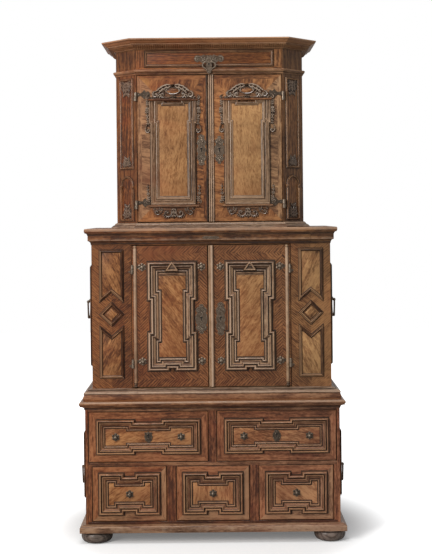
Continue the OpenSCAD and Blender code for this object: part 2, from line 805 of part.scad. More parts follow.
// Ends of the frieze, the hollow moulding over it, and the top board with its edge
module middle_cornice() {
    left_end = [[-mid_half, back_y], [-mid_half, mid_y], [-hidden_half, mid_y]];
    color(WALNUT) both_sides() {
        board([hidden_half, mid_half], [mid_y + glue, mid_y + face_t], [z_hollow, z_mid_top]);
        moulding(left_end, frieze_section(glue, z_hollow, z_mid_cove - glue));
    }
    color(MOULD) moulding(mid_path, concat(
        [[glue, z_mid_top - glue], [glue, z_mid_cove], [mid_frieze_out, z_mid_cove]],
        [for (a = [180 : -30 : 90])
            [mid_top_out - 3 + (mid_top_out - mid_frieze_out - 4) * cos(a),
                z_mid_cove + 2 + (mid_cove_h - 4) * sin(a)]],
        [[mid_top_out - 3, z_mid_top - glue]]));
    color(WALNUT) {
        board([-mid_half, mid_half], [mid_y, back_y], [z_mid_top, z_up_base]);
        moulding(mid_path, [[glue, z_mid_top], [mid_top_out - 3, z_mid_top], [mid_top_out - 1, z_mid_top + 3],
            [mid_top_out, z_mid_top + 0.5 * mid_top_t], [mid_top_out - 2, z_up_base - 3],
            [mid_top_out - 6, z_up_base], [glue, z_up_base]]);
    }
}

module upper_base_moulding() {
    o = up_base_out;
    h = up_base_h;
    color(MOULD) moulding(up_path, [[0, z_up_base], [o, z_up_base], [o, z_up_base + 0.16 * h],
        [0.82 * o, z_up_base + 0.34 * h], [0.52 * o, z_up_base + 0.6 * h], [0.3 * o, z_up_base + 0.72 * h],
        [0.26 * o, z_up_base + 0.86 * h], [0.08 * o, z_upper - 1], [0, z_upper]]);
}

// Where a post ends on the side, and the line of its inner face
post_y = up_y + cant + face_t;
post_line = up_y - (up_half - cant) + post_t * sqrt(2);

module upper_sides() {
    color(WALNUT) both_sides()
        board([up_half - board_t, up_half], [post_y, inner_back], [z_up_base, z_cornice]);
}

module upper_posts() {
    color(WALNUT) both_sides()
        translate([0, 0, z_up_base]) linear_extrude(z_cornice - z_up_base)
        polygon([[up_door_half, up_y], [up_half - cant, up_y], [up_half, up_y + cant], [up_half, post_y],
            [post_y - post_line, post_y], [up_door_half, up_door_half + post_line]]);
}

// Plan of a board that lies between the posts and the sides
function between_posts(front) =
    let (a = up_door_half - glue, b = up_half - board_t - glue, c = post_line + 2 * glue)
    [[-a, front], [a, front], [a, a + c], [b, b + c], [b, inner_back],
        [-b, inner_back], [-b, b + c], [-a, a + c]];

module upper_boards() {
    half = up_half - board_t;
    color(PINE) {
        translate([0, 0, z_up_base]) linear_extrude(up_base_h) polygon(between_posts(up_y));
        translate([0, 0, z_tray - shelf_t]) linear_extrude(shelf_t) polygon(between_posts(up_y + face_t));
        for (i = [0, 1])
            shelf(half, [post_y + glue, inner_back], z_upper + up_shelf_up + i * up_shelf_step);
        guides(0, 2 * tray_half, z_tray, up_y + face_t, inner_back);
    }
}

// Frames on the canted posts: a tall one, and an arched one under it
module post_mouldings() {
    face = cant * sqrt(2);
    half = 0.33 * face;
    low = z_upper + post_foot;
    spring = z_upper + post_spring;
    tall = rectangle([-half, half], [spring + half + post_step, z_mould - post_head]);
    arched = concat([[-half, low], [half, low]],
        [for (a = [0 : 22.5 : 180]) [half * cos(a), spring + half * sin(a)]]);
    both_sides()
        translate([up_half - cant / 2, up_y + cant / 2, 0]) rotate([0, 0, 45]) on_front(0)
        translate([-post_shift, 0, 0]) color(MOULD) {
            frame(tall, narrow(post_edge_w, post_edge_h));
            frame(arched, narrow(post_edge_w, post_edge_h));
        }
}

// Boards round the drawer over the doors, and the moulding that runs round under it
module upper_frieze() {
    y = [up_y, up_y + face_t];
    a = up_door_half - glue;
    o = up_mould_out;
    h = up_mould_h;
    color(WALNUT) {
        board([-a, a], y, [z_mould, z_tray]);
        board([-a, a], y, [z_cornice - 2 * gap, z_cornice]);
        both_sides() board([tray_half, a], y, [z_tray + glue, z_cornice - 2 * gap - glue]);
    }
    color(MOULD) moulding(up_path, [[glue, z_mould], [0.25 * o, z_mould],
        [0.35 * o, z_mould + 0.22 * h], [0.7 * o, z_mould + 0.4 * h], [o, z_mould + 0.66 * h],
        [o, z_mould + 0.84 * h], [0.6 * o, z_up_frieze], [glue, z_up_frieze]]);
}

// The cornice round the top, the rippled strip under it, and the top board inside it
module cornice() {
    o = cornice_out;
    h = cornice_h;
    color(WALNUT) {
        moulding(up_path, [[glue, z_roof], [glue, z_cornice + 0.36 * h], [0.58 * o, z_cornice + 0.36 * h],
            [0.62 * o, z_cornice + 0.44 * h], [0.66 * o, z_cornice + 0.56 * h],
            [0.8 * o, z_cornice + 0.68 * h], [0.95 * o, z_cornice + 0.78 * h],
            [o, z_cornice + 0.84 * h], [o, z_roof]]);
        translate([0, 0, z_cornice + glue]) linear_extrude(cornice_board_t) polygon(up_path);
    }
    color(MOULD) moulding(up_path, [[glue, z_cornice + 0.36 * h - glue], [glue, z_cornice],
        [0.1 * o, z_cornice], [0.14 * o, z_cornice + 0.12 * h],
        [0.32 * o, z_cornice + 0.24 * h], [0.52 * o, z_cornice + 0.3 * h],
        [0.52 * o, z_cornice + 0.36 * h - glue]]);
}

// One chest drawer: the front with its moulding and field
module drawer_front(x, w, z, h, border, band_w, notch, notch_depth) {
    color(WALNUT)
        board([x - w / 2 + gap, x + w / 2 - gap], [chest_y, chest_y + front_t], [z + gap, z + h - gap]);
    on_front(chest_y) translate([x, z + h / 2, 0])
        framed_panel(stepped(w / 2 - border, h / 2 - border, notch, notch_depth), band_w, band_h);
}

// A drawer's box behind a front: two sides, a back and a bottom. y0 is the front's back.
module drawer_box(half, y0, y1, z0, z1) {
    in_x = half - box_t - glue;
    color(PINE) {
        both_sides() board([half - box_t, half], [y0, y1], [z0, z1]);
        board([-in_x, in_x], [y1 - box_t, y1], [z0, z1]);
        board([-in_x, in_x], [y0, y1 - box_t - glue], [z0, z0 + box_bottom_t]);
    }
}

module chest_box(x, w, z, h) {
    translate([x, 0, 0])
        drawer_box(w / 2 - box_inset, chest_y + front_t, inner_back - box_back_gap,
            z + run_gap, z + h - box_drop);
}

// A turned iron knob on its rosette, on a front face
module knob() {
    color(IRON) rotate_extrude()
        polygon(concat([[0, 0], [knob_rose_r, 0], [knob_rose_r, iron_t], [0.5 * knob_rose_r, 2 * iron_t],
            [0.4 * knob_r, 2.6 * iron_t], [0.4 * knob_r, knob_l - 1.5 * knob_r]],
            [for (a = [-40 : 20 : 80]) [knob_r * cos(a), knob_l - 0.8 * knob_r + 0.8 * knob_r * sin(a)]],
            [[0, knob_l]]));
}

// Knobs and keyhole plate of a drawer in the upper row. The plate is round or a shield.
module drawer_up_iron(x, shield) {
    on_front(chest_y - field_h - glue) translate([x, z_up + drawer_up_h / 2, 0]) {
        for (s = [-1, 1]) translate([s * knob_x, 0, 0]) knob();
        color(IRON) difference() {
            linear_extrude(iron_t)
                if (shield)
                    polygon([[0, -plate_h / 2], [plate_w / 2, -plate_h / 5], [plate_w / 2.4, plate_h / 2],
                        [-plate_w / 2.4, plate_h / 2], [-plate_w / 2, -plate_h / 5]]);
                else
                    scale([plate_w / plate_h, 1]) circle(d = plate_h);
            keyhole([0, plate_h / 8]);
        }
    }
}

module drawer_low_iron(x) {
    on_front(chest_y - field_h - glue) translate([x, z_low + drawer_low_h / 2, 0]) knob();
}

module drawer_upper_left_front() {
    drawer_front(-up_drawer_x, up_drawer_w, z_up, drawer_up_h, border_up, band_up_w, notch_up, notch_up_d);
}
module drawer_upper_left_box() {
    chest_box(-up_drawer_x, up_drawer_w, z_up, drawer_up_h);
}
module drawer_upper_left_iron() {
    drawer_up_iron(-up_drawer_x, true);
}
module drawer_upper_right_front() {
    drawer_front(up_drawer_x, up_drawer_w, z_up, drawer_up_h, border_up, band_up_w, notch_up, notch_up_d);
}
module drawer_upper_right_box() {
    chest_box(up_drawer_x, up_drawer_w, z_up, drawer_up_h);
}
module drawer_upper_right_iron() {
    drawer_up_iron(up_drawer_x, false);
}
module drawer_lower_left_front() {
    drawer_front(-side_drawer_x, side_drawer_w, z_low, drawer_low_h,
        border_low, band_low_w, notch_low, notch_low_d);
}
module drawer_lower_left_box() {
    chest_box(-side_drawer_x, side_drawer_w, z_low, drawer_low_h);
}
module drawer_lower_left_iron() {
    drawer_low_iron(-side_drawer_x);
}
module drawer_lower_middle_front() {
    drawer_front(0, drawer_mid_w, z_low, drawer_low_h, border_low, band_low_w, notch_low, notch_low_d);
}
module drawer_lower_middle_box() {
    chest_box(0, drawer_mid_w, z_low, drawer_low_h);
}
module drawer_lower_middle_iron() {
    drawer_low_iron(0);
}
module drawer_lower_right_front() {
    drawer_front(side_drawer_x, side_drawer_w, z_low, drawer_low_h,
        border_low, band_low_w, notch_low, notch_low_d);
}
module drawer_lower_right_box() {
    chest_box(side_drawer_x, side_drawer_w, z_low, drawer_low_h);
}
module drawer_lower_right_iron() {
    drawer_low_iron(side_drawer_x);
}

// Drawer in the upper frieze
tray_h = z_cornice - 2 * gap - z_tray;
module cornice_drawer_front() {
    edge = tray_half - 3 * gap;
    outline = rectangle([-edge, edge], [z_tray + 3 * gap, z_tray + tray_h - 3 * gap]);
    color(WALNUT)
        board([-tray_half + gap, tray_half - gap], [up_y, up_y + front_t],
            [z_tray + gap, z_tray + tray_h - gap]);
    on_front(up_y) {
        color(MOULD) frame(outline, narrow(tray_edge_w, tray_edge_h));
        color(PALE) translate([0, 0, glue]) linear_extrude(2) polygon(inset(outline, tray_edge_w + glue));
    }
}
module cornice_drawer_box() {
    drawer_box(tray_half - box_inset, up_y + front_t, up_y + front_t + tray_d, z_tray + run_gap,
        z_tray + tray_h - box_drop);
}

// Iron plate with wings, and a lobe that steps out over the moulding below
module cornice_drawer_escutcheon() {
    lobe_y = up_y - up_mould_out - 1;
    face_y = up_y - 2 - glue;
    mid_z = z_tray + tray_h / 2 - 8;
    neck_z = z_tray + 4 * gap + tray_edge_w;
    color(IRON) {
        difference() {
            on_front(face_y) linear_extrude(iron_t) polygon([[-wing_half, mid_z - 4],
                [-lobe_half, neck_z], [lobe_half, neck_z], [wing_half, mid_z - 4],
                [0.88 * wing_half, mid_z + 14], [24, mid_z + 24], [0, mid_z + 30],
                [-24, mid_z + 24], [-0.88 * wing_half, mid_z + 14]]);
            on_front(face_y) keyhole([0, mid_z]);
        }
        translate([-lobe_half, 0, 0]) rotate([90, 0, 90]) linear_extrude(2 * lobe_half)
            polygon([[face_y, neck_z], [face_y, neck_z + 5], [face_y - iron_t, neck_z + 5],
                [lobe_y - iron_t, neck_z + 1], [lobe_y - iron_t, z_mould + 2], [lobe_y, z_mould + 2],
                [lobe_y, neck_z]]);
    }
}

// The hidden drawer, whose front is a length of the frieze
module hidden_drawer() {
    a = [-hidden_half + gap, mid_y];
    b = [hidden_half - gap, mid_y];
    color(WALNUT) length_of_moulding(a, b, [0, -1], [0, -1],
        frieze_section(-front_t, z_hollow + gap, z_mid_cove - gap));
    drawer_box(hidden_half - box_inset, mid_y + front_t + glue, mid_y + front_t + hidden_d,
        z_hollow + run_gap, z_mid_top - box_drop);
}
module hidden_drawer_keyplate() {
    on_front(mid_y - mid_frieze_out) color(IRON) difference() {
        linear_extrude(iron_t) hull() for (s = [-1, 1]) translate([s * 30, (z_frieze + z_mid_cove) / 2])
            circle(r = mid_frieze_h / 2 - 4);
        translate([0, (z_frieze + z_mid_cove) / 2, -1]) cylinder(r = key_r, h = iron_t + 2);
    }
}

// Outline of a middle door's moulding, with its waist
function waisted() =
    let (hw = mid_panel_half, s = hw - waist_step, w0 = waist_low, w1 = waist_low + waist_h, h = mid_panel_h)
    [[-hw, 0], [hw, 0], [hw, w0], [s, w0], [s, w1], [hw, w1], [hw, h], [-hw, h],
        [-hw, w1], [-s, w1], [-s, w0], [-hw, w0]];

// A middle door hung on the left: leaf, framed panel, little gable and half-round strip
module middle_door(inner_x) {
    outer_x = -mid_opening + gap;
    panel_z = mid_door_low + mid_panel_low;
    gable_z = panel_z + mid_panel_h - 4;
    color(WALNUT)
        board([outer_x, inner_x], [mid_y, mid_y + mid_door_t], [mid_door_low, mid_door_top]);
    on_front(mid_y) {
        translate([-mid_panel_x, panel_z, 0]) framed_panel(waisted(), mid_band_w, band_h);
        color(MOULD) translate([-mid_panel_x, gable_z, band_h + glue])
            linear_extrude(5) polygon([[0, 0], [-32, -32], [32, -32]]);
    }
    color(MOULD) difference() {
        translate([outer_x + strip_in + strip_w / 2, mid_y - glue, mid_door_low + 2])
            linear_extrude(mid_door_top - mid_door_low - 4) difference() {
                circle(d = strip_w);
                translate([-strip_w, 0]) square([2 * strip_w, strip_w]);
            }
        for (z = mid_hinge_z)
            board([outer_x, outer_x + strip_in + strip_w + 1], [mid_y - iron_t - 2 * glue, mid_y],
                [z + knuckle_gap / 2 - glue, z + hinge_h / 2 + glue]);
    }
}

// The strip on the right door that covers the meeting line: a flat fillet with round beads
module astragal(x, w, beads, bead_r, y, z) {
    color(MOULD) translate([0, 0, z[0]]) linear_extrude(z[1] - z[0]) {
        translate([x, y - 4]) square([w, 4 - glue]);
        for (b = beads) translate([b, y - 4]) circle(r = bead_r);
    }
}

module middle_door_left() {
    middle_door(mid_meet - meet_gap / 2);
}
module middle_door_right() {
    mirror([1, 0, 0]) middle_door(-(mid_meet + meet_gap / 2));
    astragal(mid_meet + meet_gap / 2, 24, [4], 7, mid_y, [mid_door_low + 2, mid_door_top - 2]);
}

// The half of a hinge that turns with the door: a bored knuckle, the web behind it and the
// strap, which lies on the door's face from root to tip
module door_knuckle(axis, face_y, z, root, tip) {
    z0 = z + knuckle_gap / 2;
    difference() {
        union() {
            translate([axis[0], axis[1], z0]) cylinder(r = knuckle_r, h = knuckle_h);
            board([axis[0], root + 3], [axis[1], face_y - web_gap], [z0, z0 + knuckle_h]);
            board([root, tip], [face_y - iron_t, face_y], [z0, z0 + knuckle_h]);
        }
        translate([axis[0], axis[1], z0 - 1]) cylinder(r = pin_r + pin_gap, h = knuckle_h + 2);
    }
}

// A round iron rosette with a boss, on flat work
module rosette(r) {
    rotate_extrude() polygon([[0, 0], [r, 0], [r, iron_t], [0.7 * r, 1.6 * iron_t], [0.45 * r, iron_t],
        [0.36 * r, 3 * iron_t], [0.2 * r, 3.8 * iron_t], [0, 4 * iron_t]]);
}

// Outline of a tall lock plate, about its middle
function lock_outline(w, h) = [[-0.2 * w, -0.5 * h], [0.2 * w, -0.5 * h], [0.4 * w, -0.3 * h],
    [0.32 * w, -0.14 * h], [0.5 * w, 0], [0.32 * w, 0.16 * h], [0.46 * w, 0.34 * h], [0.2 * w, 0.46 * h],
    [0, 0.5 * h], [-0.2 * w, 0.46 * h], [-0.46 * w, 0.34 * h], [-0.32 * w, 0.16 * h], [-0.5 * w, 0],
    [-0.32 * w, -0.14 * h], [-0.4 * w, -0.3 * h]];
module lock_plate(x, z, size, face_y) {
    on_front(face_y) translate([x, z, 0]) difference() {
        linear_extrude(iron_t) polygon(lock_outline(size[0], size[1]));
        keyhole([0, 0]);
    }
}

// A lock case on the back of a door, with a slot for its bolt. x is the door's meeting edge.
module lock_case(x, z, y) {
    difference() {
        board([x + lock_in, x + lock_in + lock_w], [y, y + lock_t], [z - lock_h / 2, z + lock_h / 2]);
        board([x - 1, x + lock_in + lock_w - 3], [y + bolt_in - run_gap, y + bolt_in + bolt_t + run_gap],
            [z - bolt_h / 2 - run_gap, z + bolt_h / 2 + run_gap]);
    }
}

// The keeper on the back of the other door: a lug over and a lug under the bolt. x is that
// door's meeting edge.
module keeper(x, z, y) {
    for (s = [-1, 1])
        translate([x - lock_in - keeper_w, y, z + s * (bolt_h / 2 + gap + keeper_h / 2) - keeper_h / 2])
            cube([keeper_w, lock_t, keeper_h]);
}

module lock_bolt(x, z, y) {
    color(IRON) board([x + lock_in + 1, x + lock_in + 1 + bolt_l - bolt_travel],
        [y + bolt_in, y + bolt_in + bolt_t], [z - bolt_h / 2, z + bolt_h / 2]);
}

// Straps and rosettes of a middle door hung on the left
module middle_straps() {
    tip = rose_in + gap - mid_opening;
    for (z = mid_hinge_z) {
        door_knuckle([-mid_axis_x, mid_axis_y], mid_y, z, -mid_axis_x, tip);
        on_front(mid_y) translate([tip, z + hinge_h / 4, iron_t]) rosette(rose_r);
        on_front(mid_y) translate([-rose_mid_x, z + hinge_h / 4, 0]) rosette(rose_r);
    }
}
module middle_door_left_iron() {
    color(IRON) {
        middle_straps();
        lock_plate(-mid_plate_left_x, mid_lock_z, [mid_plate_left_w, mid_plate_left_h], mid_y);
        keeper(mid_meet - meet_gap / 2, mid_lock_z, mid_lock_y);
    }
}
module middle_door_right_iron() {
    color(IRON) {
        mirror([1, 0, 0]) middle_straps();
        lock_plate(mid_plate_right_x, mid_lock_z, [mid_plate_right_w, mid_plate_right_h], mid_y);
        lock_case(mid_meet + meet_gap / 2, mid_lock_z, mid_lock_y);
    }
}
module middle_lock_bolt() {
    lock_bolt(mid_meet + meet_gap / 2, mid_lock_z, mid_lock_y);
}

// An upper door hung on the left: leaf, framed panel with a stepped head, and a sill
module upper_door(inner_x) {
    outer_x = -up_door_half + gap;
    hw = up_panel_half;
    h = up_panel_h;
    n = hw - 2 * up_band_w - up_shoulder;
    outline = [[-hw, 0], [hw, 0], [hw, h], [n, h], [n, h - notch_low_d],
        [-n, h - notch_low_d], [-n, h], [-hw, h]];
    panel_z = up_door_low + up_panel_low;
    color(WALNUT)
        board([outer_x, inner_x], [up_y, up_y + up_door_t], [up_door_low, up_door_top]);
    on_front(up_y) translate([-up_panel_x, panel_z, 0]) {
        framed_panel(outline, up_band_w, band_h);
        color(MOULD) translate([-hw - 12, -10 - glue, glue]) cube([2 * hw + 24, 10, band_h + 4]);
    }
}
module upper_door_left() {
    upper_door(up_meet - meet_gap / 2);
}
module upper_door_right() {
    mirror([1, 0, 0]) upper_door(-(up_meet + meet_gap / 2));
    astragal(up_meet + meet_gap / 2, 26, [up_meet + 8, up_meet + 20], 5, up_y,
        [up_door_low + 1, up_door_top - 1]);
}

// Carved crest over the panel, drops beside it and apron under it, as plain blocks
module door_carving() {
    panel_z = up_door_low + up_panel_low;
    head_z = panel_z + up_panel_h;
    hw = up_panel_half;
    color(MOULD) on_front(up_y) translate([-up_panel_x, 0, 0]) {
        translate([0, head_z + 2, 0]) linear_extrude(carve_h)
            polygon(concat([[-hw, 0], [hw, 0]],
                [for (a = [20 : 20 : 160]) [hw * cos(a), crest_h * sin(a)]]));
        translate([0, panel_z - 12, 0]) linear_extrude(carve_h)
            polygon([[-hw + 8, 0], [-hw + 14, -18], [-44, -24], [-26, -apron_h], [26, -apron_h], [44, -24],
                [hw - 14, -18], [hw - 8, 0]]);
        for (s = [-1, 1]) translate([s * (hw + 3 + drop_w / 2) - drop_w / 2, 0, 0]) {
            translate([0, head_z - 14 - drop_high_l, 0]) cube([drop_w, drop_high_l, carve_h]);
            translate([0, panel_z + 8, 0]) cube([drop_w, drop_low_l, carve_h]);
        }
    }
}
module upper_door_left_carving() {
    door_carving();
}
module upper_door_right_carving() {
    mirror([1, 0, 0]) door_carving();
}

module upper_straps() {
    for (z = up_hinge_z)
        door_knuckle([-up_axis_x, up_axis_y], up_y, z, -up_door_half + gap, -up_panel_x - up_panel_half - 17);
}
module upper_door_left_iron() {
    color(IRON) {
        upper_straps();
        lock_plate(-up_plate_left_x, up_lock_z, [up_plate_left_w, up_plate_left_h], up_y);
        keeper(up_meet - meet_gap / 2, up_lock_z, up_lock_y);
    }
}
module upper_door_right_iron() {
    color(IRON) {
        mirror([1, 0, 0]) upper_straps();
        lock_plate(up_plate_right_x, up_lock_z, [up_plate_right_w, up_plate_right_h], up_y);
        lock_case(up_meet + meet_gap / 2, up_lock_z, up_lock_y);
    }
}
module upper_lock_bolt() {
    lock_bolt(up_meet + meet_gap / 2, up_lock_z, up_lock_y);
}

// The fixed half of a hinge on the left: knuckle, pin, and a leaf that starts at root. turn
// lays the leaf on a cant.
module pintle(axis, root, z, leaf, turn) {
    translate([0, 0, z - hinge_h / 2]) {
        translate(axis) cylinder(r = knuckle_r, h = knuckle_h);
        translate(axis) cylinder(r = pin_r, h = hinge_h);
        translate(root) rotate([0, 0, turn]) translate([-leaf, -iron_t, 0]) cube([leaf, iron_t, knuckle_h]);
    }
}

module hinge_pintles() {
    color(IRON) both_sides() {
        for (z = mid_hinge_z) {
            pintle([-mid_axis_x, mid_axis_y], [-mid_opening - gap, mid_y], z, mid_leaf, 0);
            board([-mid_opening - gap - 3, -mid_axis_x], [mid_axis_y, mid_y - web_gap],
                [z - hinge_h / 2, z - hinge_h / 2 + knuckle_h]);
        }
        for (z = up_hinge_z)
            pintle([-up_axis_x, up_axis_y], [cant - up_half, up_y], z, up_leaf, -45);
    }
}

// A side handle's two eyes with their rosettes, on the right side at a pivot's place
module eye_pair(x, y, z) {
    for (s = [-1, 1]) translate([x, y + s * eye_half, z]) difference() {
        union() {
            rotate([0, 90, 0]) rosette(2 * eye_r);
            rotate([0, 90, 0]) cylinder(r = eye_stem_r, h = eye_out - eye_r / 2);
            translate([eye_out, 0, 0]) rotate([90, 0, 0]) cylinder(r = eye_r, h = eye_l, center = true);
        }
        translate([eye_out, 0, 0]) rotate([90, 0, 0])
            cylinder(r = pin_r + pin_gap, h = eye_l + 2, center = true);
    }
}

module handle_eyes() {
    color(IRON) both_sides() {
        eye_pair(chest_half + side_field, chest_handle_y, chest_handle_z);
        eye_pair(mid_half + side_field, mid_handle_y, mid_handle_z);
    }
}

// A straight rod from a to b
module rod(a, b, r) {
    d = b - a;
    translate(a) rotate([0, acos(d[2] / norm(d)), atan2(d[1], d[0])]) cylinder(r = r, h = norm(d));
}

// A hanging bail about its pivot: pins in the eyes, two arms and a swelling grip
module bail(x, y, z) {
    arm_y = eye_half + eye_l / 2 + bail_r + 2;
    grip_y = arm_y - 14;
    color(IRON) translate([x + eye_out, y, z]) {
        for (s = [-1, 1]) {
            translate([0, s * (eye_half - eye_l / 2), 0]) rotate([-s * 90, 0, 0])
                cylinder(r = pin_r, h = eye_l + bail_r);
            translate([0, s * arm_y, 0]) sphere(r = bail_r + 1.5);
            translate([0, s * grip_y, -bail_drop]) sphere(r = bail_r + 1);
            rod([0, s * arm_y, 0], [0, s * grip_y, -bail_drop], bail_r);
        }
        rod([0, -grip_y, -bail_drop], [0, grip_y, -bail_drop], bail_r);
        translate([0, 0, -bail_drop]) rotate([90, 0, 0]) cylinder(r = bail_r + 2.5, h = 18, center = true);
    }
}

module chest_bail_right() {
    bail(chest_half + side_field, chest_handle_y, chest_handle_z);
}
module chest_bail_left() {
    mirror([1, 0, 0]) bail(chest_half + side_field, chest_handle_y, chest_handle_z);
}
module middle_bail_right() {
    bail(mid_half + side_field, mid_handle_y, mid_handle_z);
}
module middle_bail_left() {
    mirror([1, 0, 0]) bail(mid_half + side_field, mid_handle_y, mid_handle_z);
}

bun_feet();
plinth();
chest_sides();
chest_face_frame();
chest_boards();
chest_top();
chest_side_panels();
back_boards();
middle_base_moulding();
middle_sides();
middle_boards();
middle_pilasters();
pilaster_mouldings();
middle_cornice();
middle_side_panels();
upper_base_moulding();
upper_sides();
upper_boards();
upper_posts();
post_mouldings();
upper_frieze();
cornice();
hinge_pintles();
handle_eyes();
drawer_upper_left_front();
drawer_upper_left_box();
drawer_upper_left_iron();
drawer_upper_right_front();
drawer_upper_right_box();
drawer_upper_right_iron();
drawer_lower_left_front();
drawer_lower_left_box();
drawer_lower_left_iron();
drawer_lower_middle_front();
drawer_lower_middle_box();
drawer_lower_middle_iron();
drawer_lower_right_front();
drawer_lower_right_box();
drawer_lower_right_iron();
cornice_drawer_front();
cornice_drawer_box();
cornice_drawer_escutcheon();
hidden_drawer();
hidden_drawer_keyplate();
middle_door_left();
middle_door_left_iron();
middle_door_right();
middle_door_right_iron();
upper_door_left();
upper_door_left_iron();
upper_door_left_carving();
upper_door_right();
upper_door_right_iron();
upper_door_right_carving();
middle_lock_bolt();
upper_lock_bolt();
chest_bail_left();
chest_bail_right();
middle_bail_left();
middle_bail_right();
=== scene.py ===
# Looks of the tall walnut cabinet, built round the imported frame. Sizes are in metres.
# Every wooden piece is put together from closed shells, as a cabinet maker would cut them:
# boards, veneers, mitred lengths of moulding and turned or carved work. Each shell carries
# three attributes that its finish reads: a grain place (along and across its own grain), a
# wear mark (1 on rubbed ridges, -1 in hollows that it darkens with dirt and painted shade, and
# raised on frame runs that get painted light) and a tone (how pale this cut of wood is, with
# painted light added on some frame runs).
import math
import random

import bmesh
import bpy
from mathutils import Matrix, Vector

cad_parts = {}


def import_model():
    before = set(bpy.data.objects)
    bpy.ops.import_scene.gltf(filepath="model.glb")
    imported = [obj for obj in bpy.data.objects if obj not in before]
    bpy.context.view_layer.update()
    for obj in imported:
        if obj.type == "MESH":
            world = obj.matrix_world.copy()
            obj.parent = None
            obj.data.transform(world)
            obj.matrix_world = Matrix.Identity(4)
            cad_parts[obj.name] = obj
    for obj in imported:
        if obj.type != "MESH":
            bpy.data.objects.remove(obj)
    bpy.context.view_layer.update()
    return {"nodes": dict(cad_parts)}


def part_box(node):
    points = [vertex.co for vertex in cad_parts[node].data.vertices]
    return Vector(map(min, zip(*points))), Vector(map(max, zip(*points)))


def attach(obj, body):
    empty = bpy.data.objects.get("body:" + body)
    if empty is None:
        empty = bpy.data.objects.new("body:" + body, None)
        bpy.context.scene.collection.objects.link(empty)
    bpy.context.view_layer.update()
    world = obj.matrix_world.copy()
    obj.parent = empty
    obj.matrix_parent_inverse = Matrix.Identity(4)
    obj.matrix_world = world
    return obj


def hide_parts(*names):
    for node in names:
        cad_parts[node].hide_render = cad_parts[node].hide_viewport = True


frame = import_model()
nodes = frame["nodes"]
chance = random.Random(1701)
MM = 0.001

# Planes and levels, read from the frame
CHEST_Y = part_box("chest_face_frame")[0].y
MID_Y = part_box("middle_pilasters")[0].y
UP_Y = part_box("upper_posts")[0].y
BACK_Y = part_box("back_boards")[1].y
CHEST_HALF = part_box("chest_face_frame")[1].x
MID_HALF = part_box("middle_pilasters")[1].x
UP_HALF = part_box("upper_posts")[1].x
Z_PLINTH, Z_CHEST = (v.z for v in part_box("plinth"))
Z_COVE, Z_MID_BASE = (v.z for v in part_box("chest_top"))
Z_MID, Z_HOLLOW = (v.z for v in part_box("middle_pilasters"))
Z_UP_BASE, Z_UPPER = (v.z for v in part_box("upper_base_moulding"))
Z_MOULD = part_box("upper_frieze")[0].z
Z_CORNICE, Z_ROOF = (v.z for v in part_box("cornice"))

# Sizes that the frame's boxes don't give
FACE = 26 * MM
CANT = 97.5 * MM
Z_TOP = Z_MID_BASE - 19 * MM
Z_FRIEZE = Z_HOLLOW + 20 * MM
Z_MID_COVE = Z_FRIEZE + 23 * MM
Z_MID_TOP = Z_MID_COVE + 14 * MM
Z_UP_FRIEZE = Z_MOULD + 24 * MM
PILASTER = 179 * MM
MID_OPENING = MID_HALF - PILASTER
UP_OPENING = UP_HALF - CANT - 3 * MM
MID_AXIS = MID_OPENING - 5 * MM
UP_AXIS = UP_OPENING + 4 * MM
AXIS_PROUD = 6.3 * MM
VENEER = 1.2 * MM
HAIR = 0.2 * MM
EYE_FROM_MIDDLE = 50 * MM
EYE_REACH = 24 * MM
HIDDEN_HALF = MID_HALF - 89 * MM


# Finishes

def node(tree, kind, inputs=None, **settings):
    """Adds a shader node. An input is a plain value or another node's output."""
    made = tree.nodes.new(kind)
    for key, value in settings.items():
        setattr(made, key, value)
    for key, value in (inputs or {}).items():
        if isinstance(value, bpy.types.NodeSocket):
            tree.links.new(value, made.inputs[key])
        else:
            made.inputs[key].default_value = value
    return made


def maths(tree, operation, a, b=0.0, c=0.0, clamp=False):
    return node(tree, "ShaderNodeMath", {0: a, 1: b, 2: c}, operation=operation, use_clamp=clamp).outputs[0]


def stretched(tree, place, sizes):
    """The place, scaled so that a noise on it has features of these sizes."""
    scale = tuple(1 / s for s in sizes)
    return node(tree, "ShaderNodeVectorMath", {0: place, 1: scale}, operation="MULTIPLY").outputs[0]


def cloudy(tree, place, sizes, detail, rough=0.55, bend=0.0):
    settings = {"Vector": stretched(tree, place, sizes), "Scale": 1.0, "Detail": detail,
                "Roughness": rough, "Distortion": bend}
    return node(tree, "ShaderNodeTexNoise", settings).outputs[0]


def spread(tree, value, low, high, first=0.0, last=1.0):
    """The value, spread from low and high over first and last and held between them."""
    return node(tree, "ShaderNodeMapRange", {"Value": value, "From Min": low, "From Max": high,
                                             "To Min": first, "To Max": last}).outputs[0]


def mixed(tree, share, a, b):
    made = node(tree, "ShaderNodeMix", data_type="RGBA")
    for socket, value in ((made.inputs[0], share), (made.inputs[6], a), (made.inputs[7], b)):
        if isinstance(value, bpy.types.NodeSocket):
            tree.links.new(value, socket)
        else:
            socket.default_value = value
    return made.outputs[2]


def blank(name):
    material = bpy.data.materials.new(name)
    material.use_nodes = True
    tree = material.node_tree
    tree.nodes.clear()
    shader = node(tree, "ShaderNodeBsdfPrincipled")
    end = node(tree, "ShaderNodeOutputMaterial", {"Surface": shader.outputs[0]})
    return material, tree, shader, end


def rgb(red, green, blue):
    return (red, green, blue, 1.0)


def tinted(colour, red, green, blue):
    """A colour with its red, green and blue each multiplied."""
    return rgb(colour[0] * red, colour[1] * green, colour[2] * blue)


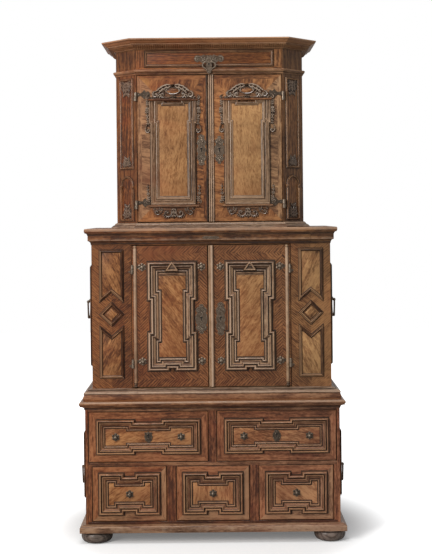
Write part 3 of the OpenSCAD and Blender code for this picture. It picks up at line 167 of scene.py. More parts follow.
def grain_marks(tree, body, board):
    """Grain place, wear and shading mark, and tone: those that a shell carries, or those of a plain board."""
    if board is None:
        grain, wear_and_shading, tone = (node(tree, "ShaderNodeAttribute", attribute_name=name)
                             for name in ("grain", "wear_and_shading", "tone"))
        return grain.outputs["Vector"], wear_and_shading.outputs["Fac"], tone.outputs["Fac"]
    parts = node(tree, "ShaderNodeSeparateXYZ", {0: body})
    order = {"X": (0, 1, 2), "Y": (1, 0, 2), "Z": (2, 0, 1)}[board]
    along = node(tree, "ShaderNodeCombineXYZ", {i: parts.outputs[k] for i, k in enumerate(order)})
    return along.outputs[0], None, maths(tree, "SUBTRACT", cloudy(tree, body, (0.9, 0.9, 0.9), 0.0), 0.5)


def growth(tree, grain, tone, figure, line, flame, curl, straight):
    """How pale the wood is from place to place, by its rings, streaks, flecks and figure. Gives
    back that value, the streaks and the mottle."""
    wander = cloudy(tree, grain, (0.42, 0.085, 0.085), 2.0, 0.5, 0.4)
    across = node(tree, "ShaderNodeSeparateXYZ", {0: grain}).outputs[1]
    phase = maths(tree, "MULTIPLY_ADD", across, math.tau / line, maths(tree, "MULTIPLY", wander, 26.0))
    rings = maths(tree, "MULTIPLY_ADD", maths(tree, "SINE", phase), 0.5, 0.5)
    streaks = cloudy(tree, grain, (0.16, 0.0065, 0.0065), 4.0, 0.66, 0.3)
    flecks = cloudy(tree, grain, (0.026, 0.0024, 0.0024), 2.0, 0.6)
    mottle = cloudy(tree, grain, (0.07, 0.03, 0.03), 4.0, 0.62, curl)
    grit = cloudy(tree, grain, (0.022, 0.006, 0.006), 2.0, 0.7)
    start = 0.02 - 0.05 * (1 - figure) + 0.51 * (1 - straight)
    value = maths(tree, "MULTIPLY_ADD", rings, 0.36 * (1 - figure), start)
    value = maths(tree, "MULTIPLY_ADD", streaks, 0.6 * straight, value)
    value = maths(tree, "MULTIPLY_ADD", mottle, 0.3 + 0.6 * figure, value)
    value = maths(tree, "MULTIPLY_ADD", flecks, 0.42 * straight, value)
    value = maths(tree, "MULTIPLY_ADD", maths(tree, "SUBTRACT", grit, 0.5), 0.75, value)
    if figure > 0.5:
        flames = cloudy(tree, grain, (0.3, 0.05, 0.05), 3.0, 0.5, 1.5)
        value = maths(tree, "MULTIPLY_ADD", maths(tree, "SUBTRACT", flames, 0.5), flame, value)
    value = maths(tree, "MULTIPLY_ADD", tone, 0.26, value)
    return maths(tree, "SUBTRACT", value, 0.25 + 0.15 * figure), streaks, mottle


def painted_paler_rightwards(tree, colour, where):
    """Wood painted paler towards the right side, as painted light that evens out the key lamp's stronger
    light on the left, and yellower there in the upper tiers.
    """
    rightward = spread(tree, where.outputs[0], -0.45, 0.45)
    upper = spread(tree, where.outputs[2], 0.55, 0.75)
    hue = maths(tree, "MULTIPLY_ADD", maths(tree, "MULTIPLY", rightward, upper), 0.012, 0.498)
    vivid = maths(tree, "MULTIPLY_ADD", rightward, -0.08, 1.03)
    light = maths(tree, "MULTIPLY_ADD", rightward, 0.12, 0.95)
    settings = {"Hue": hue, "Saturation": vivid, "Value": light, "Color": colour}
    return node(tree, "ShaderNodeHueSaturation", settings).outputs[0]


def rubbed_and_shaded(tree, colour, rough, body, wear_and_shading, wear, ridge):
    """Rubs the ridges bright, with painted highlights where a run gets painted light, and darkens the hollows
    with dirt and painted shade. Gives back colour and roughness.
    """
    spots = cloudy(tree, body, (0.034, 0.034, 0.034), 4.0, 0.68)
    lift = maths(tree, "SUBTRACT", spots, 0.5)
    high = maths(tree, "MULTIPLY_ADD", lift, 1.1, wear_and_shading)
    high = maths(tree, "MULTIPLY", maths(tree, "SUBTRACT", high, 0.42), 1.7, clamp=True)
    low = maths(tree, "MULTIPLY_ADD", lift, -0.9, maths(tree, "MULTIPLY", wear_and_shading, -1.0))
    low = maths(tree, "MULTIPLY", maths(tree, "SUBTRACT", low, 0.34), 1.8, clamp=True)
    colour = mixed(tree, maths(tree, "MULTIPLY", high, wear), colour, rgb(*ridge))
    colour = mixed(tree, maths(tree, "MULTIPLY", low, 0.88), colour, DIRT_AND_SHADE)
    rough = maths(tree, "MULTIPLY_ADD", low, 0.3, rough)
    return colour, maths(tree, "MULTIPLY_ADD", high, -0.1, rough)


def wood(name, dark, middle, pale, figure=0.35, line=17 * MM, roughness=0.42, wear=0.5, flame=0.65,
         curl=1.2, polish=0.28, knot=None, ridge=(0.43, 0.285, 0.19), straight=1.0, foot=None,
         board=None):
    """Waxed wood. board is None for a piece with its own grain, or the axis that a plain board's
    grain follows. A knot is the place of a golden knot, ridge the colour of rubbed ridges and of the
    painted highlights on ridges of runs that get painted light, and straight the share of the long
    streaks. Foot is a pair of levels: the wood turns redder and darker from the second down to the first."""
    dark, middle, pale = rgb(*dark), rgb(*middle), rgb(*pale)
    material, tree, shader, _ = blank(name)
    body = node(tree, "ShaderNodeTexCoord").outputs["Object"]
    where = node(tree, "ShaderNodeSeparateXYZ", {0: body})
    grain, wear_and_shading, tone = grain_marks(tree, body, board)
    value, streaks, mottle = growth(tree, grain, tone, figure, line, flame, curl, straight)
    ramp = node(tree, "ShaderNodeValToRGB", {"Fac": value})
    stops = ramp.color_ramp.elements
    stops[0].position, stops[0].color = 0.29, dark
    stops[1].position, stops[1].color = 0.77, pale
    stops.new(0.52).color = middle
    colour = ramp.outputs[0]
    patch = cloudy(tree, body, (0.19, 0.19, 0.14), 3.0, 0.6, 0.5)
    red = maths(tree, "MULTIPLY", maths(tree, "SUBTRACT", patch, 0.5, clamp=True), 2.2, clamp=True)
    colour = mixed(tree, red, colour, mixed(tree, 0.6, colour, tinted(middle, 1.3, 0.76, 0.68)))
    age = cloudy(tree, body, (0.3, 0.3, 0.16), 4.0, 0.62)
    shade = maths(tree, "MULTIPLY", maths(tree, "SUBTRACT", 0.55, age, clamp=True), 1.8, clamp=True)
    colour = mixed(tree, shade, colour, tinted(dark, 0.6, 0.6, 0.6))
    colour = painted_paler_rightwards(tree, colour, where)
    if knot:
        near = node(tree, "ShaderNodeVectorMath", {0: body, 1: knot}, operation="DISTANCE").outputs["Value"]
        near = maths(tree, "MULTIPLY_ADD", mottle, 0.03, near)
        colour = mixed(tree, spread(tree, near, 0.02, 0.05, 0.75, 0.0), colour, rgb(0.42, 0.2, 0.06))
    if foot:
        depth = spread(tree, where.outputs[2], foot[0], foot[1], 0.55, 0.0)
        colour = mixed(tree, depth, colour, tinted(middle, 0.95, 0.78, 0.72))
    rough = maths(tree, "MULTIPLY_ADD", streaks, 0.16, roughness - 0.08)
    if wear_and_shading is not None:
        colour, rough = rubbed_and_shaded(tree, colour, rough, body, wear_and_shading, wear, ridge)
    tree.links.new(colour, shader.inputs["Base Color"])
    tree.links.new(rough, shader.inputs["Roughness"])
    shader.inputs["Specular IOR Level"].default_value = polish
    shader.inputs["Coat Weight"].default_value = 0.25 * polish
    shader.inputs["Coat Roughness"].default_value = 0.25
    bump = node(tree, "ShaderNodeBump", {"Strength": 0.3, "Distance": 0.0007, "Height": streaks})
    tree.links.new(bump.outputs[0], shader.inputs["Normal"])
    return material


def iron(name, depth=1.0):
    """Forged iron, a little rubbed, with brown in the hollows. A depth below 1 makes it darker."""
    material, tree, shader, _ = blank(name)
    body = node(tree, "ShaderNodeTexCoord").outputs["Object"]
    wear_and_shading = node(tree, "ShaderNodeAttribute", attribute_name="wear_and_shading").outputs["Fac"]
    hammered = cloudy(tree, body, (0.009, 0.009, 0.009), 3.0, 0.65)
    patch = cloudy(tree, body, (0.04, 0.04, 0.04), 4.0, 0.65)
    dark, pale, bright = (tinted(c, depth, depth, depth)
                          for c in ((0.05, 0.034, 0.022), (0.172, 0.119, 0.082), (0.4, 0.32, 0.24)))
    dents = maths(tree, "MULTIPLY", maths(tree, "SUBTRACT", hammered, 0.6), 2.0)
    high = maths(tree, "MULTIPLY_ADD", wear_and_shading, 0.7, dents, clamp=True)
    colour = mixed(tree, high, mixed(tree, patch, dark, pale), bright)
    rust = maths(tree, "MULTIPLY", maths(tree, "SUBTRACT", hammered, 0.54), 3.5, clamp=True)
    colour = mixed(tree, maths(tree, "MULTIPLY", rust, 0.55), colour, rgb(0.05, 0.026, 0.014))
    tree.links.new(colour, shader.inputs["Base Color"])
    tree.links.new(maths(tree, "MULTIPLY_ADD", patch, 0.25, 0.27), shader.inputs["Roughness"])
    shader.inputs["Metallic"].default_value = 0.7
    bump = node(tree, "ShaderNodeBump", {"Strength": 0.4, "Distance": 0.001, "Height": hammered})
    tree.links.new(bump.outputs[0], shader.inputs["Normal"])
    return material


# A near-black finish with a faint mottle: painted shade for the inside of a keyhole.
def keyhole_shadow(name):
    material, tree, shader, _ = blank(name)
    body = node(tree, "ShaderNodeTexCoord").outputs["Object"]
    shadow_mottle = cloudy(tree, body, (0.004, 0.004, 0.004), 2.0)
    colour = mixed(tree, shadow_mottle, rgb(0.006, 0.005, 0.004), rgb(0.02, 0.015, 0.01))
    tree.links.new(colour, shader.inputs["Base Color"])
    shader.inputs["Roughness"].default_value = 0.9
    return material


# Dark of dirt and painted shade, laid into hollows, grooves and the gaps round drawers and doors.
DIRT_AND_SHADE = rgb(0.022, 0.012, 0.007)
BROWN = ((0.058, 0.017, 0.006), (0.195, 0.066, 0.0215), (0.37, 0.148, 0.052))
SHADED = tuple(tinted(c, 0.62, 0.62, 0.62)[:3] for c in BROWN)
PINE = ((0.2, 0.11, 0.045), (0.34, 0.2, 0.085), (0.5, 0.32, 0.15))
BRIGHT = ((0.09, 0.028, 0.009), (0.25, 0.097, 0.034), (0.45, 0.215, 0.085))
finishes = {
    "walnut": wood("walnut", *BROWN),
    "walnut_band": wood("walnut_crossband", (0.038, 0.0115, 0.004), (0.135, 0.046, 0.0155),
                        (0.29, 0.118, 0.042), 0.42, 8 * MM),
    "door_band": wood("door_crossband", (0.032, 0.0095, 0.004), (0.128, 0.041, 0.0145),
                      (0.27, 0.102, 0.038), 0.3, 9.5 * MM),
    "soft_walnut": wood("soft_walnut", (0.06, 0.0185, 0.0075), (0.195, 0.067, 0.025),
                        (0.365, 0.15, 0.063), 0.6, flame=0.4, straight=0.5),
    "frieze": wood("red_frieze", (0.05, 0.012, 0.003), (0.175, 0.049, 0.011), (0.33, 0.112, 0.03),
                   0.42, 8 * MM),
    "grey_stile": wood("faded_stile", (0.058, 0.023, 0.011), (0.185, 0.084, 0.039), (0.36, 0.185, 0.09),
                       0.62, 30 * MM),
    "stile": wood("walnut_stile", *BROWN, 0.62, 30 * MM, knot=(-0.304, UP_Y, 2.064)),
    "walnut_figure": wood("walnut_figured", *BRIGHT, 0.85, 21 * MM),
    "panel": wood("quiet_panel", (0.1, 0.036, 0.0115), (0.26, 0.112, 0.041), (0.42, 0.21, 0.085),
                  0.85, 21 * MM, flame=0.35, curl=4.5, straight=0.6, foot=(1.5, 1.64)),
    "field": wood("door_field", *BRIGHT, 0.85, 21 * MM, curl=2.5, straight=0.8, foot=(0.7, 1.2)),
    "burl": wood("curled_panel", (0.075, 0.025, 0.008), (0.225, 0.09, 0.032), (0.42, 0.2, 0.078),
                 0.85, 21 * MM, flame=1.0, curl=3.2),
    "moulding": wood("walnut_moulding", (0.05, 0.018, 0.008), (0.165, 0.067, 0.029), (0.31, 0.15, 0.073),
                     0.3, 12 * MM, 0.36, 0.55, ridge=(0.46, 0.27, 0.14)),
    "rubbed_moulding": wood("rubbed_moulding", (0.052, 0.022, 0.011), (0.168, 0.083, 0.043),
                            (0.34, 0.2, 0.115), 0.3, 12 * MM, 0.36, 0.85, ridge=(0.46, 0.315, 0.22)),
    "faded_moulding": wood("faded_moulding", (0.062, 0.029, 0.013), (0.16, 0.084, 0.044),
                           (0.27, 0.157, 0.09), 0.3, 12 * MM, 0.4, 0.5),
    "dusty": wood("dusty_moulding", (0.05, 0.025, 0.014), (0.15, 0.083, 0.05), (0.31, 0.205, 0.14),
                  0.3, 12 * MM, 0.45, 0.6),
    "edge": wood("walnut_edge", (0.06, 0.019, 0.008), (0.165, 0.064, 0.027), (0.32, 0.15, 0.07),
                 0.3, 12 * MM, 0.38, 0.55),
    # A dark finish for dark carving, used also for painted shade: the strip beside the upper doors' meeting
    # edge and the fan on the crest.
    "dark_carving_and_shade": wood("dark_carving_and_shade", (0.02, 0.011, 0.007), (0.062, 0.036, 0.024),
                         (0.15, 0.095, 0.065), 0.3, 14 * MM, 0.3, 0.2),
    "carving": wood("walnut_carving", (0.035, 0.018, 0.01), (0.12, 0.066, 0.04), (0.22, 0.14, 0.092),
                    0.3, 14 * MM, 0.25, 0.52, polish=0.8, ridge=(0.46, 0.35, 0.26)),
    "low_carving": wood("low_carving", (0.026, 0.0125, 0.0075), (0.075, 0.038, 0.024), (0.17, 0.1, 0.065),
                        0.3, 14 * MM, 0.28, 0.38, polish=0.7, ridge=(0.42, 0.31, 0.225)),
    "foot": wood("stained_foot", (0.034, 0.025, 0.02), (0.1, 0.075, 0.06), (0.2, 0.155, 0.127),
                 0.3, 14 * MM, 0.4, 0.35),
    "pine": wood("pine", *PINE, 0.3, 14 * MM, 0.6),
    "iron": iron("forged_iron"),
    "dark_iron": iron("dark_iron", 0.62),
    "hollow": keyhole_shadow("keyhole_shadow"),
}
board_finishes = {
    "walnut_upright": wood("walnut_upright", *BROWN, board="Z"),
    "walnut_shaded": wood("walnut_shaded", *SHADED, board="Z"),
    "pine_across": wood("pine_across", *PINE, board="X", roughness=0.6),
    "pine_upright": wood("pine_upright", *PINE, board="Z", roughness=0.62),
    "pine_deep": wood("pine_deep", *PINE, board="Y", roughness=0.6),
}


def shell_mesh(name, points, faces, marks):
    """A mesh of closed shells that look outwards. marks holds a value for each point by title."""
    mesh = bpy.data.meshes.new(name)
    mesh.from_pydata(points, [], faces)
    for title, values in marks.items():
        if title == "grain":
            attribute = mesh.attributes.new(title, "FLOAT_VECTOR", "POINT")
            attribute.data.foreach_set("vector", [v for place in values for v in place])
        else:
            attribute = mesh.attributes.new(title, "FLOAT", "POINT")
            attribute.data.foreach_set("value", values)
    shells = bmesh.new()
    shells.from_mesh(mesh)
    bmesh.ops.recalc_face_normals(shells, faces=shells.faces)
    shells.to_mesh(mesh)
    shells.free()
    return mesh


def smoothed(mesh, sharp):
    """Smooth faces, but for edges that turn by more than some degrees."""
    mesh.polygons.foreach_set("use_smooth", [True] * len(mesh.polygons))
    mesh.set_sharp_from_angle(angle=math.radians(sharp))


def placed(name, data):
    piece = bpy.data.objects.new(name, data)
    bpy.context.scene.collection.objects.link(piece)
    return piece


# Shells and pieces

class Work:
    """Closed shells that become one mesh, with its finishes and its three attributes."""

    def __init__(self):
        self.points = []
        self.faces = []
        self.finish = []
        self.grain = []
        self.wear_and_shading = []
        self.tone = []
        self.used = []

    def shell(self, points, faces, finish, grain=None, wear_and_shading=None, tone=None):
        start = len(self.points)
        if finish not in self.used:
            self.used.append(finish)
        shade = chance.uniform(-0.3, 0.3) if tone is None else tone
        seed = Vector((chance.uniform(-9, 9), chance.uniform(-9, 9), chance.uniform(-9, 9)))
        self.points += [tuple(p) for p in points]
        self.faces += [tuple(start + i for i in f) for f in faces]
        self.finish += [self.used.index(finish)] * len(faces)
        self.grain += [tuple(seed + g) for g in (grain or points)]
        self.wear_and_shading += wear_and_shading or [0.0] * len(points)
        self.tone += [shade] * len(points)

    def make(self, name, body, replaced=()):
        marks = {"grain": self.grain, "wear_and_shading": self.wear_and_shading, "tone": self.tone}
        mesh = shell_mesh(name, self.points, self.faces, marks)
        for finish in self.used:
            mesh.materials.append(finishes[finish])
        mesh.polygons.foreach_set("material_index", self.finish)
        smoothed(mesh, 34)
        mesh.update()
        piece = placed(name, mesh)
        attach(piece, body)
        if replaced:
            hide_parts(*replaced)


# Places: each turns flat work (across, up, proud) into the row frame

def on_front(y):
    return Matrix(((1, 0, 0, 0), (0, 0, -1, y), (0, 1, 0, 0), (0, 0, 0, 1)))


def on_back(y):
    return Matrix(((1, 0, 0, 0), (0, 0, 1, y), (0, 1, 0, 0), (0, 0, 0, 1)))


def on_side(x, s):
    return Matrix(((0, 0, s, s * x), (1, 0, 0, 0), (0, 1, 0, 0), (0, 0, 0, 1)))


def on_cant(s):
    k = math.sqrt(0.5)
    return Matrix(((s * k, 0, s * k, s * (UP_HALF - CANT / 2)), (k, 0, -k, UP_Y + CANT / 2),
                   (0, 1, 0, 0), (0, 0, 0, 1)))


PLAN = Matrix.Identity(4)


def moved(place, across, up, proud=0.0):
    return place @ Matrix.Translation((across, up, proud))


def turned_by(place, degrees):
    return place @ Matrix.Rotation(math.radians(degrees), 4, "Z")


def flipped(place):
    return place @ Matrix.Scale(-1, 4, (1, 0, 0))


# Lines and outlines

def mitres(path, closed, side=1):
    """The sideways step at each corner of a line that keeps a parallel line at distance one."""
    steps = []
    n = len(path)
    for i in range(n):
        ends = []
        if closed or i > 0:
            ends.append(path[i] - path[i - 1])
        if closed or i < n - 1:
            ends.append(path[(i + 1) % n] - path[i])
        sides = [Vector((-d.y, d.x)).normalized() * side for d in ends]
        if len(sides) == 1:
            steps.append(sides[0])
        else:
            steps.append((sides[0] + sides[1]) / max(0.2, 1 + sides[0].dot(sides[1])))
    return steps


def inset(outline, distance):
    line = [Vector(p) for p in outline]
    return [p + distance * m for p, m in zip(line, mitres(line, True))]


def line_mm(*points):
    """A line from its points in millimetres."""
    return [(x * MM, z * MM) for x, z in points]


def mirrored(line):
    """The line on the other side of the middle, from its end back to its start."""
    return [Vector((-x, z)) for x, z in reversed(line)]


def section_mm(points, x=0.0, z=0.0):
    """A section or a profile from its points in millimetres, measured from a place (x, z)."""
    return [(x + q * MM, z + h * MM, rub_and_shading) for q, h, rub_and_shading in points]


def swept(x, z, across, up, angles, wear_and_shading):
    """Section points on an arc about (x, z). The last argument gives the wear and shading mark at an angle.
    """
    return [(x + across * math.cos(math.radians(a)), z + up * math.sin(math.radians(a)), wear_and_shading(a))
            for a in angles]


def rectangle(x0, x1, z0, z1):
    return [(x0, z0), (x1, z0), (x1, z1), (x0, z1)]


def curve(points, steps):
    """A smooth line through points."""
    points = [Vector(p) for p in points]
    line = []
    for i in range(len(points) - 1):
        a = points[max(0, i - 1)]
        b, c = points[i], points[i + 1]
        d = points[min(len(points) - 1, i + 2)]
        for k in range(steps):
            t = k / steps
            line.append(0.5 * (2 * b + (c - a) * t + (2 * a - 5 * b + 4 * c - d) * t * t
                               + (3 * b - a - 3 * c + d) * t * t * t))
    line.append(points[-1])
    return line


def arc(x, y, r, start, end, steps):
    return [(x + r * math.cos(math.radians(start + (end - start) * k / steps)),
             y + r * math.sin(math.radians(start + (end - start) * k / steps))) for k in range(steps + 1)]


def level(values, t):
    """A value from a list of them, spread evenly from 0 to 1."""
    place = min(max(t, 0.0), 1.0) * (len(values) - 1)
    i = min(int(place), len(values) - 2)
    return values[i] + (values[i + 1] - values[i]) * (place - i)


# Woodwork

def board(work, low, high, finish, along=0, chamfer=0.8 * MM, tone=None):
    """A board with eased edges. along is the axis of its grain."""
    low, high = Vector(low), Vector(high)
    middle, half = (low + high) / 2, (high - low) / 2
    ease = min(chamfer, *(0.4 * h for h in half))
    corners = [Vector((a, b, c)) for a in (-1, 1) for b in (-1, 1) for c in (-1, 1)]
    points, faces = [], []
    for s in corners:
        for axis in range(3):
            inward = [0 if k == axis else ease for k in range(3)]
            points.append(middle + Vector([s[k] * (half[k] - inward[k]) for k in range(3)]))
    number = {tuple(s): i for i, s in enumerate(corners)}
    for axis in range(3):
        u, v = (axis + 1) % 3, (axis + 2) % 3
        for s in (-1, 1):
            ring = []
            for a, b in ((-1, -1), (1, -1), (1, 1), (-1, 1)):
                key = [0, 0, 0]
                key[axis], key[u], key[v] = s, a, b
                ring.append(3 * number[tuple(key)] + axis)
            faces.append(ring)
        for a in (-1, 1):
            for b in (-1, 1):
                ends = []
                for s in (-1, 1):
                    key = [0, 0, 0]
                    key[axis], key[u], key[v] = s, a, b
                    ends.append(3 * number[tuple(key)])
                faces.append([ends[0] + u, ends[1] + u, ends[1] + v, ends[0] + v])
    faces += [[3 * i, 3 * i + 1, 3 * i + 2] for i in range(8)]
    order = {0: (0, 1, 2), 1: (1, 0, 2), 2: (2, 0, 1)}[along]
    grain = [Vector([p[k] for k in order]) for p in points]
    work.shell(points, faces, finish, grain, [0.25] * len(points), tone)


def lit(place, inward):
    """How much painted light a run of a frame gets, by the way that the frame's inside
    lies from it: most at the frame's foot and on its left."""
    way = place.to_3x3() @ Vector((inward.x, inward.y, 0.0))
    return 0.6 * way.z + 0.8 * way.x


def ring_faces(count, around, joined=False):
    """Faces between rows of points that each go round, with end caps or with the ends joined."""
    faces = []
    for i in range(count if joined else count - 1):
        here, there = i * around, (i + 1) % count * around
        faces += [(here + j, here + (j + 1) % around, there + (j + 1) % around, there + j)
                  for j in range(around)]
    if not joined:
        faces += [tuple(range(around)), tuple(range((count - 1) * around, count * around))]
    return faces


def length(work, place, path, section, finish, closed=False, side=1, tone=None, painted_light=0.0, upright=0.0):
    """Mitred lengths of moulding along a path. A section point is (sideways, up, wear mark). Each run gets
    painted light on its tone and ridges by the way it faces, and upright is further painted light for runs
    that stand up."""
    path = [Vector(p) for p in path]
    steps = mitres(path, closed, side)
    n = len(path)
    k = len(section)
    for i in range(n if closed else n - 1):
        a, b = path[i], path[(i + 1) % n]
        along = (b - a).normalized()
        # Painted light and shade by the way the run faces: paler tone and brighter ridges on the lit runs,
        # darker tone on the others.
        pale = painted_light * lit(place, Vector((-along.y, along.x)) * side)
        shade = pale * (0.6 if pale > 0 else 0.85) + upright * abs(along.y)
        shade += chance.uniform(-0.3, 0.3) if tone is None else tone
        points, grain, wear_and_shading = [], [], []
        for corner, step in ((a, steps[i]), (b, steps[(i + 1) % n])):
            for q, h, rub_and_shading in section:
                p = corner + step * q
                points.append(place @ Vector((p.x, p.y, h)))
                grain.append(Vector(((p - a).dot(along), q, h)))
                wear_and_shading.append(rub_and_shading + (0.8 if pale > 0 else 0.5) * pale if rub_and_shading > 0 else rub_and_shading)
        faces = [(j, (j + 1) % k, k + (j + 1) % k, k + j) for j in range(k)]
        faces += [tuple(range(k)), tuple(range(k, 2 * k))]
        work.shell(points, faces, finish, grain, wear_and_shading, shade)


def bent_length(work, place, path, section, finish, side=1, tone=None):
    """One unbroken moulding round a closed curve."""
    path = [Vector(p) for p in path]
    steps = mitres(path, True, side)
    n = len(path)
    k = len(section)
    points, grain, wear_and_shading = [], [], []
    run = 0.0
    for i in range(n):
        if i:
            run += (path[i] - path[i - 1]).length
        for q, h, rub_and_shading in section:
            p = path[i] + steps[i] * q
            points.append(place @ Vector((p.x, p.y, h)))
            grain.append(Vector((run, q, h)))
            wear_and_shading.append(rub_and_shading)
    work.shell(points, ring_faces(n, k, True), finish, grain, wear_and_shading, tone)


def veneer(work, place, outline, proud, finish, angle=0.0, foot=0.0, ease=0.0, rub_and_shading=0.5, tone=None):
    """A flat piece with an outline, whose grain runs at an angle and whose rim may be eased."""
    outline = [Vector(p) for p in outline]
    steps = mitres(outline, True)
    rings = [(0.0, foot, 0.0), (0.0, proud - ease, 0.0)]
    if ease:
        rings.append((ease * 0.4, proud - ease * 0.3, rub_and_shading))
        rings.append((ease * 1.3, proud, 0.0))
    turn = Matrix.Rotation(-math.radians(angle), 2)
    points, grain, wear_and_shading = [], [], []
    for q, h, wear in rings:
        for p, m in zip(outline, steps):
            flat = p + m * q
            cut = turn @ flat
            points.append(place @ Vector((flat.x, flat.y, h)))
            grain.append(Vector((cut.x, cut.y, h)))
            wear_and_shading.append(wear)
    work.shell(points, ring_faces(len(rings), len(outline)), finish, grain, wear_and_shading, tone)


def banding(work, place, outline, widths, angles, proud, finish, tone=0.0, painted_light=0.0, odd=None):
    """Veneer strips round the inside of an outline, mitred at its corners. Each strip has a width
    and a grain angle from its own length. Each side's tone takes painted light by the way it faces.
    Odd gives some sides a finish and a tone of their own."""
    outline = [Vector(p) for p in outline]
    steps = mitres(outline, True)
    n = len(outline)
    for i in range(n):
        a, b = outline[i], outline[(i + 1) % n]
        heading = math.degrees(math.atan2(b.y - a.y, b.x - a.x))
        # Painted light by the way this side faces.
        pale = tone + painted_light * lit(place, Vector((a.y - b.y, b.x - a.x)).normalized())
        cut, extra = (odd or {}).get(i, (finish, 0.0))
        near = 0.0
        for width, angle in zip(widths, angles):
            far = near + width
            strip = [a + steps[i] * near, b + steps[(i + 1) % n] * near,
                     b + steps[(i + 1) % n] * far, a + steps[i] * far]
            veneer(work, place, strip, proud, cut, heading + angle,
                   tone=pale + extra + chance.uniform(-0.15, 0.15))
            near = far


def turned(work, place, profile, finish, segments, tone=None):
    """Turned work about the proud axis. A profile point is (radius, height, wear and shading mark)."""
    points, grain, wear_and_shading, rings = [], [], [], []
    for r, h, rub_and_shading in profile:
        ring = []
        for k in range(segments if r > 0 else 1):
            a = math.tau * k / segments
            local = Vector((r * math.cos(a), r * math.sin(a), h))
            ring.append(len(points))
            points.append(place @ local)
            grain.append(local)
            wear_and_shading.append(rub_and_shading)
        rings.append(ring)
    faces = []
    for low, high in zip(rings, rings[1:]):
        for k in range(segments):
            m = (k + 1) % segments
            if len(low) == 1:
                faces.append((low[0], high[k], high[m]))
            elif len(high) == 1:
                faces.append((low[k], low[m], high[0]))
            else:
                faces.append((low[k], low[m], high[m], high[k]))
    for ring in (rings[0], rings[-1]):
        if len(ring) > 1:
            faces.append(tuple(ring))
    work.shell(points, faces, finish, grain, wear_and_shading, tone)


def rod(work, line, radii, finish, sides, wear_and_shading):
    """A round rod along a line in space, with a radius at each of its points."""
    line = [Vector(p) for p in line]
    n = len(line)
    points = []
    heading = (line[1] - line[0]).normalized()
    side = heading.orthogonal().normalized()
    for i, p in enumerate(line):
        ahead = (line[min(i + 1, n - 1)] - line[max(i - 1, 0)]).normalized()
        side = (side - ahead * side.dot(ahead)).normalized()
        up = ahead.cross(side)
        for k in range(sides):
            a = math.tau * k / sides
            points.append(p + radii[i] * (math.cos(a) * side + math.sin(a) * up))
    work.shell(points, ring_faces(n, sides), finish, None, [wear_and_shading] * len(points), 0.0)


# Carving and iron

def frond(work, place, spine, widths, height, finish, vein=0.3, steps=5):
    """A carved leaf or scroll: a swelling ridge along a line, with a groove down its middle."""
    line = curve(spine, steps)
    n = len(line)
    across = (-1.0, -0.82, -0.5, -0.18, 0.0, 0.18, 0.5, 0.82, 1.0)
    rise = (0.0, 0.5, 1.0, 1 - 0.6 * vein, 1 - vein, 1 - 0.6 * vein, 1.0, 0.5, 0.0)
    core = max(-1.0, 1 - 4.5 * vein)
    rub_and_shading = (-1.0, -0.2, 1.0, 0.5 + 0.5 * core, core, 0.5 + 0.5 * core, 1.0, -0.2, -1.0)
    points, wear_and_shading = [], []
    for i, p in enumerate(line):
        ahead = (line[min(i + 1, n - 1)] - line[max(i - 1, 0)]).normalized()
        side = Vector((-ahead.y, ahead.x))
        width = max(0.15 * MM, level(widths, i / (n - 1)))
        lift = height * min(1.0, width / max(widths) + 0.35)
        for q, h, w in zip(across, rise, rub_and_shading):
            flat = p + side * width * q
            points.append(place @ Vector((flat.x, flat.y, h * lift)))
            wear_and_shading.append(w)
    work.shell(points, ring_faces(n, len(across)), finish, None, wear_and_shading)


def volute(x, y, radius, start, turns, hand):
    """A line that winds into an eye at (x, y)."""
    line = []
    count = 14
    for i in range(count):
        t = i / (count - 1)
        r = radius * (1 - 0.78 * t)
        a = math.radians(start) + hand * math.tau * turns * t
        line.append((x + r * math.cos(a), y + r * math.sin(a)))
    return line


def scroll(work, place, lead, eye, radius, start, turns, hand, width, height, finish):
    """A scroll: a line that leads into a volute with a round eye."""
    line = [tuple(p) for p in lead] + volute(eye[0], eye[1], radius, start, turns, hand)
    widths = [share * width for share in (0.25, 0.9, 1.0, 0.8, 0.5, 0.4)]
    frond(work, place, line, widths, height, finish, 0.12, 3)
    dome = swept(0.0, 0.3 * height, 0.3 * radius, 0.9 * height, (0, 25, 50, 75), lambda a: 0.8)
    profile = [(0.3 * radius, 0.0, -0.5)] + dome + [(0.0, 1.25 * height, 1.0)]
    turned(work, moved(place, *eye), profile, finish, 14)


def petalled(work, place, radius, petals, height, finish, ribs=0.3):
    """A round plate whose rim is cut in petals, with a boss in the middle."""
    segments = 8 * petals
    rings = ((1.0, 0.0, -0.5), (1.0, 0.3, 0.6), (0.86, 0.46, 0.8), (0.66, 0.5, -0.2), (0.5, 0.42, -0.8),
             (0.42, 0.62, 0.2), (0.34, 0.9, 0.9), (0.2, 1.0, 1.0))
    points, wear_and_shading = [], []
    for share, rise, rub_and_shading in rings:
        for k in range(segments):
            a = math.tau * k / segments
            lobe = abs(math.sin(petals * a / 2))
            outer = radius * share * (1 - 0.26 * (1 - lobe) * max(0.0, (share - 0.45) / 0.55))
            lift = height * rise * (1 - ribs * (1 - lobe) * (0.5 < share < 0.99))
            points.append(place @ Vector((outer * math.cos(a), outer * math.sin(a), lift)))
            wear_and_shading.append(rub_and_shading)
    work.shell(points, ring_faces(len(rings), segments), finish, None, wear_and_shading, 0.0)


def shaped(profile, size, turn=0.0):
    """A symmetrical outline from (place along, half width) pairs, as shares of size (width, length)."""
    right = curve([(w * size[0], a * size[1]) for a, w in profile], 5)
    line = []
    for p in right + mirrored(right):
        if not line or (p - line[-1]).length > 0.2 * MM:
            line.append(p)
    if (line[0] - line[-1]).length < 0.2 * MM:
        line.pop()
    spin = Matrix.Rotation(math.radians(turn), 2)
    return [spin @ p for p in line]


def both_ends(*half):
    """A symmetrical profile of a plate, from the pairs of its first half."""
    return list(half) + [(-a, w) for a, w in reversed(half) if a < 0]


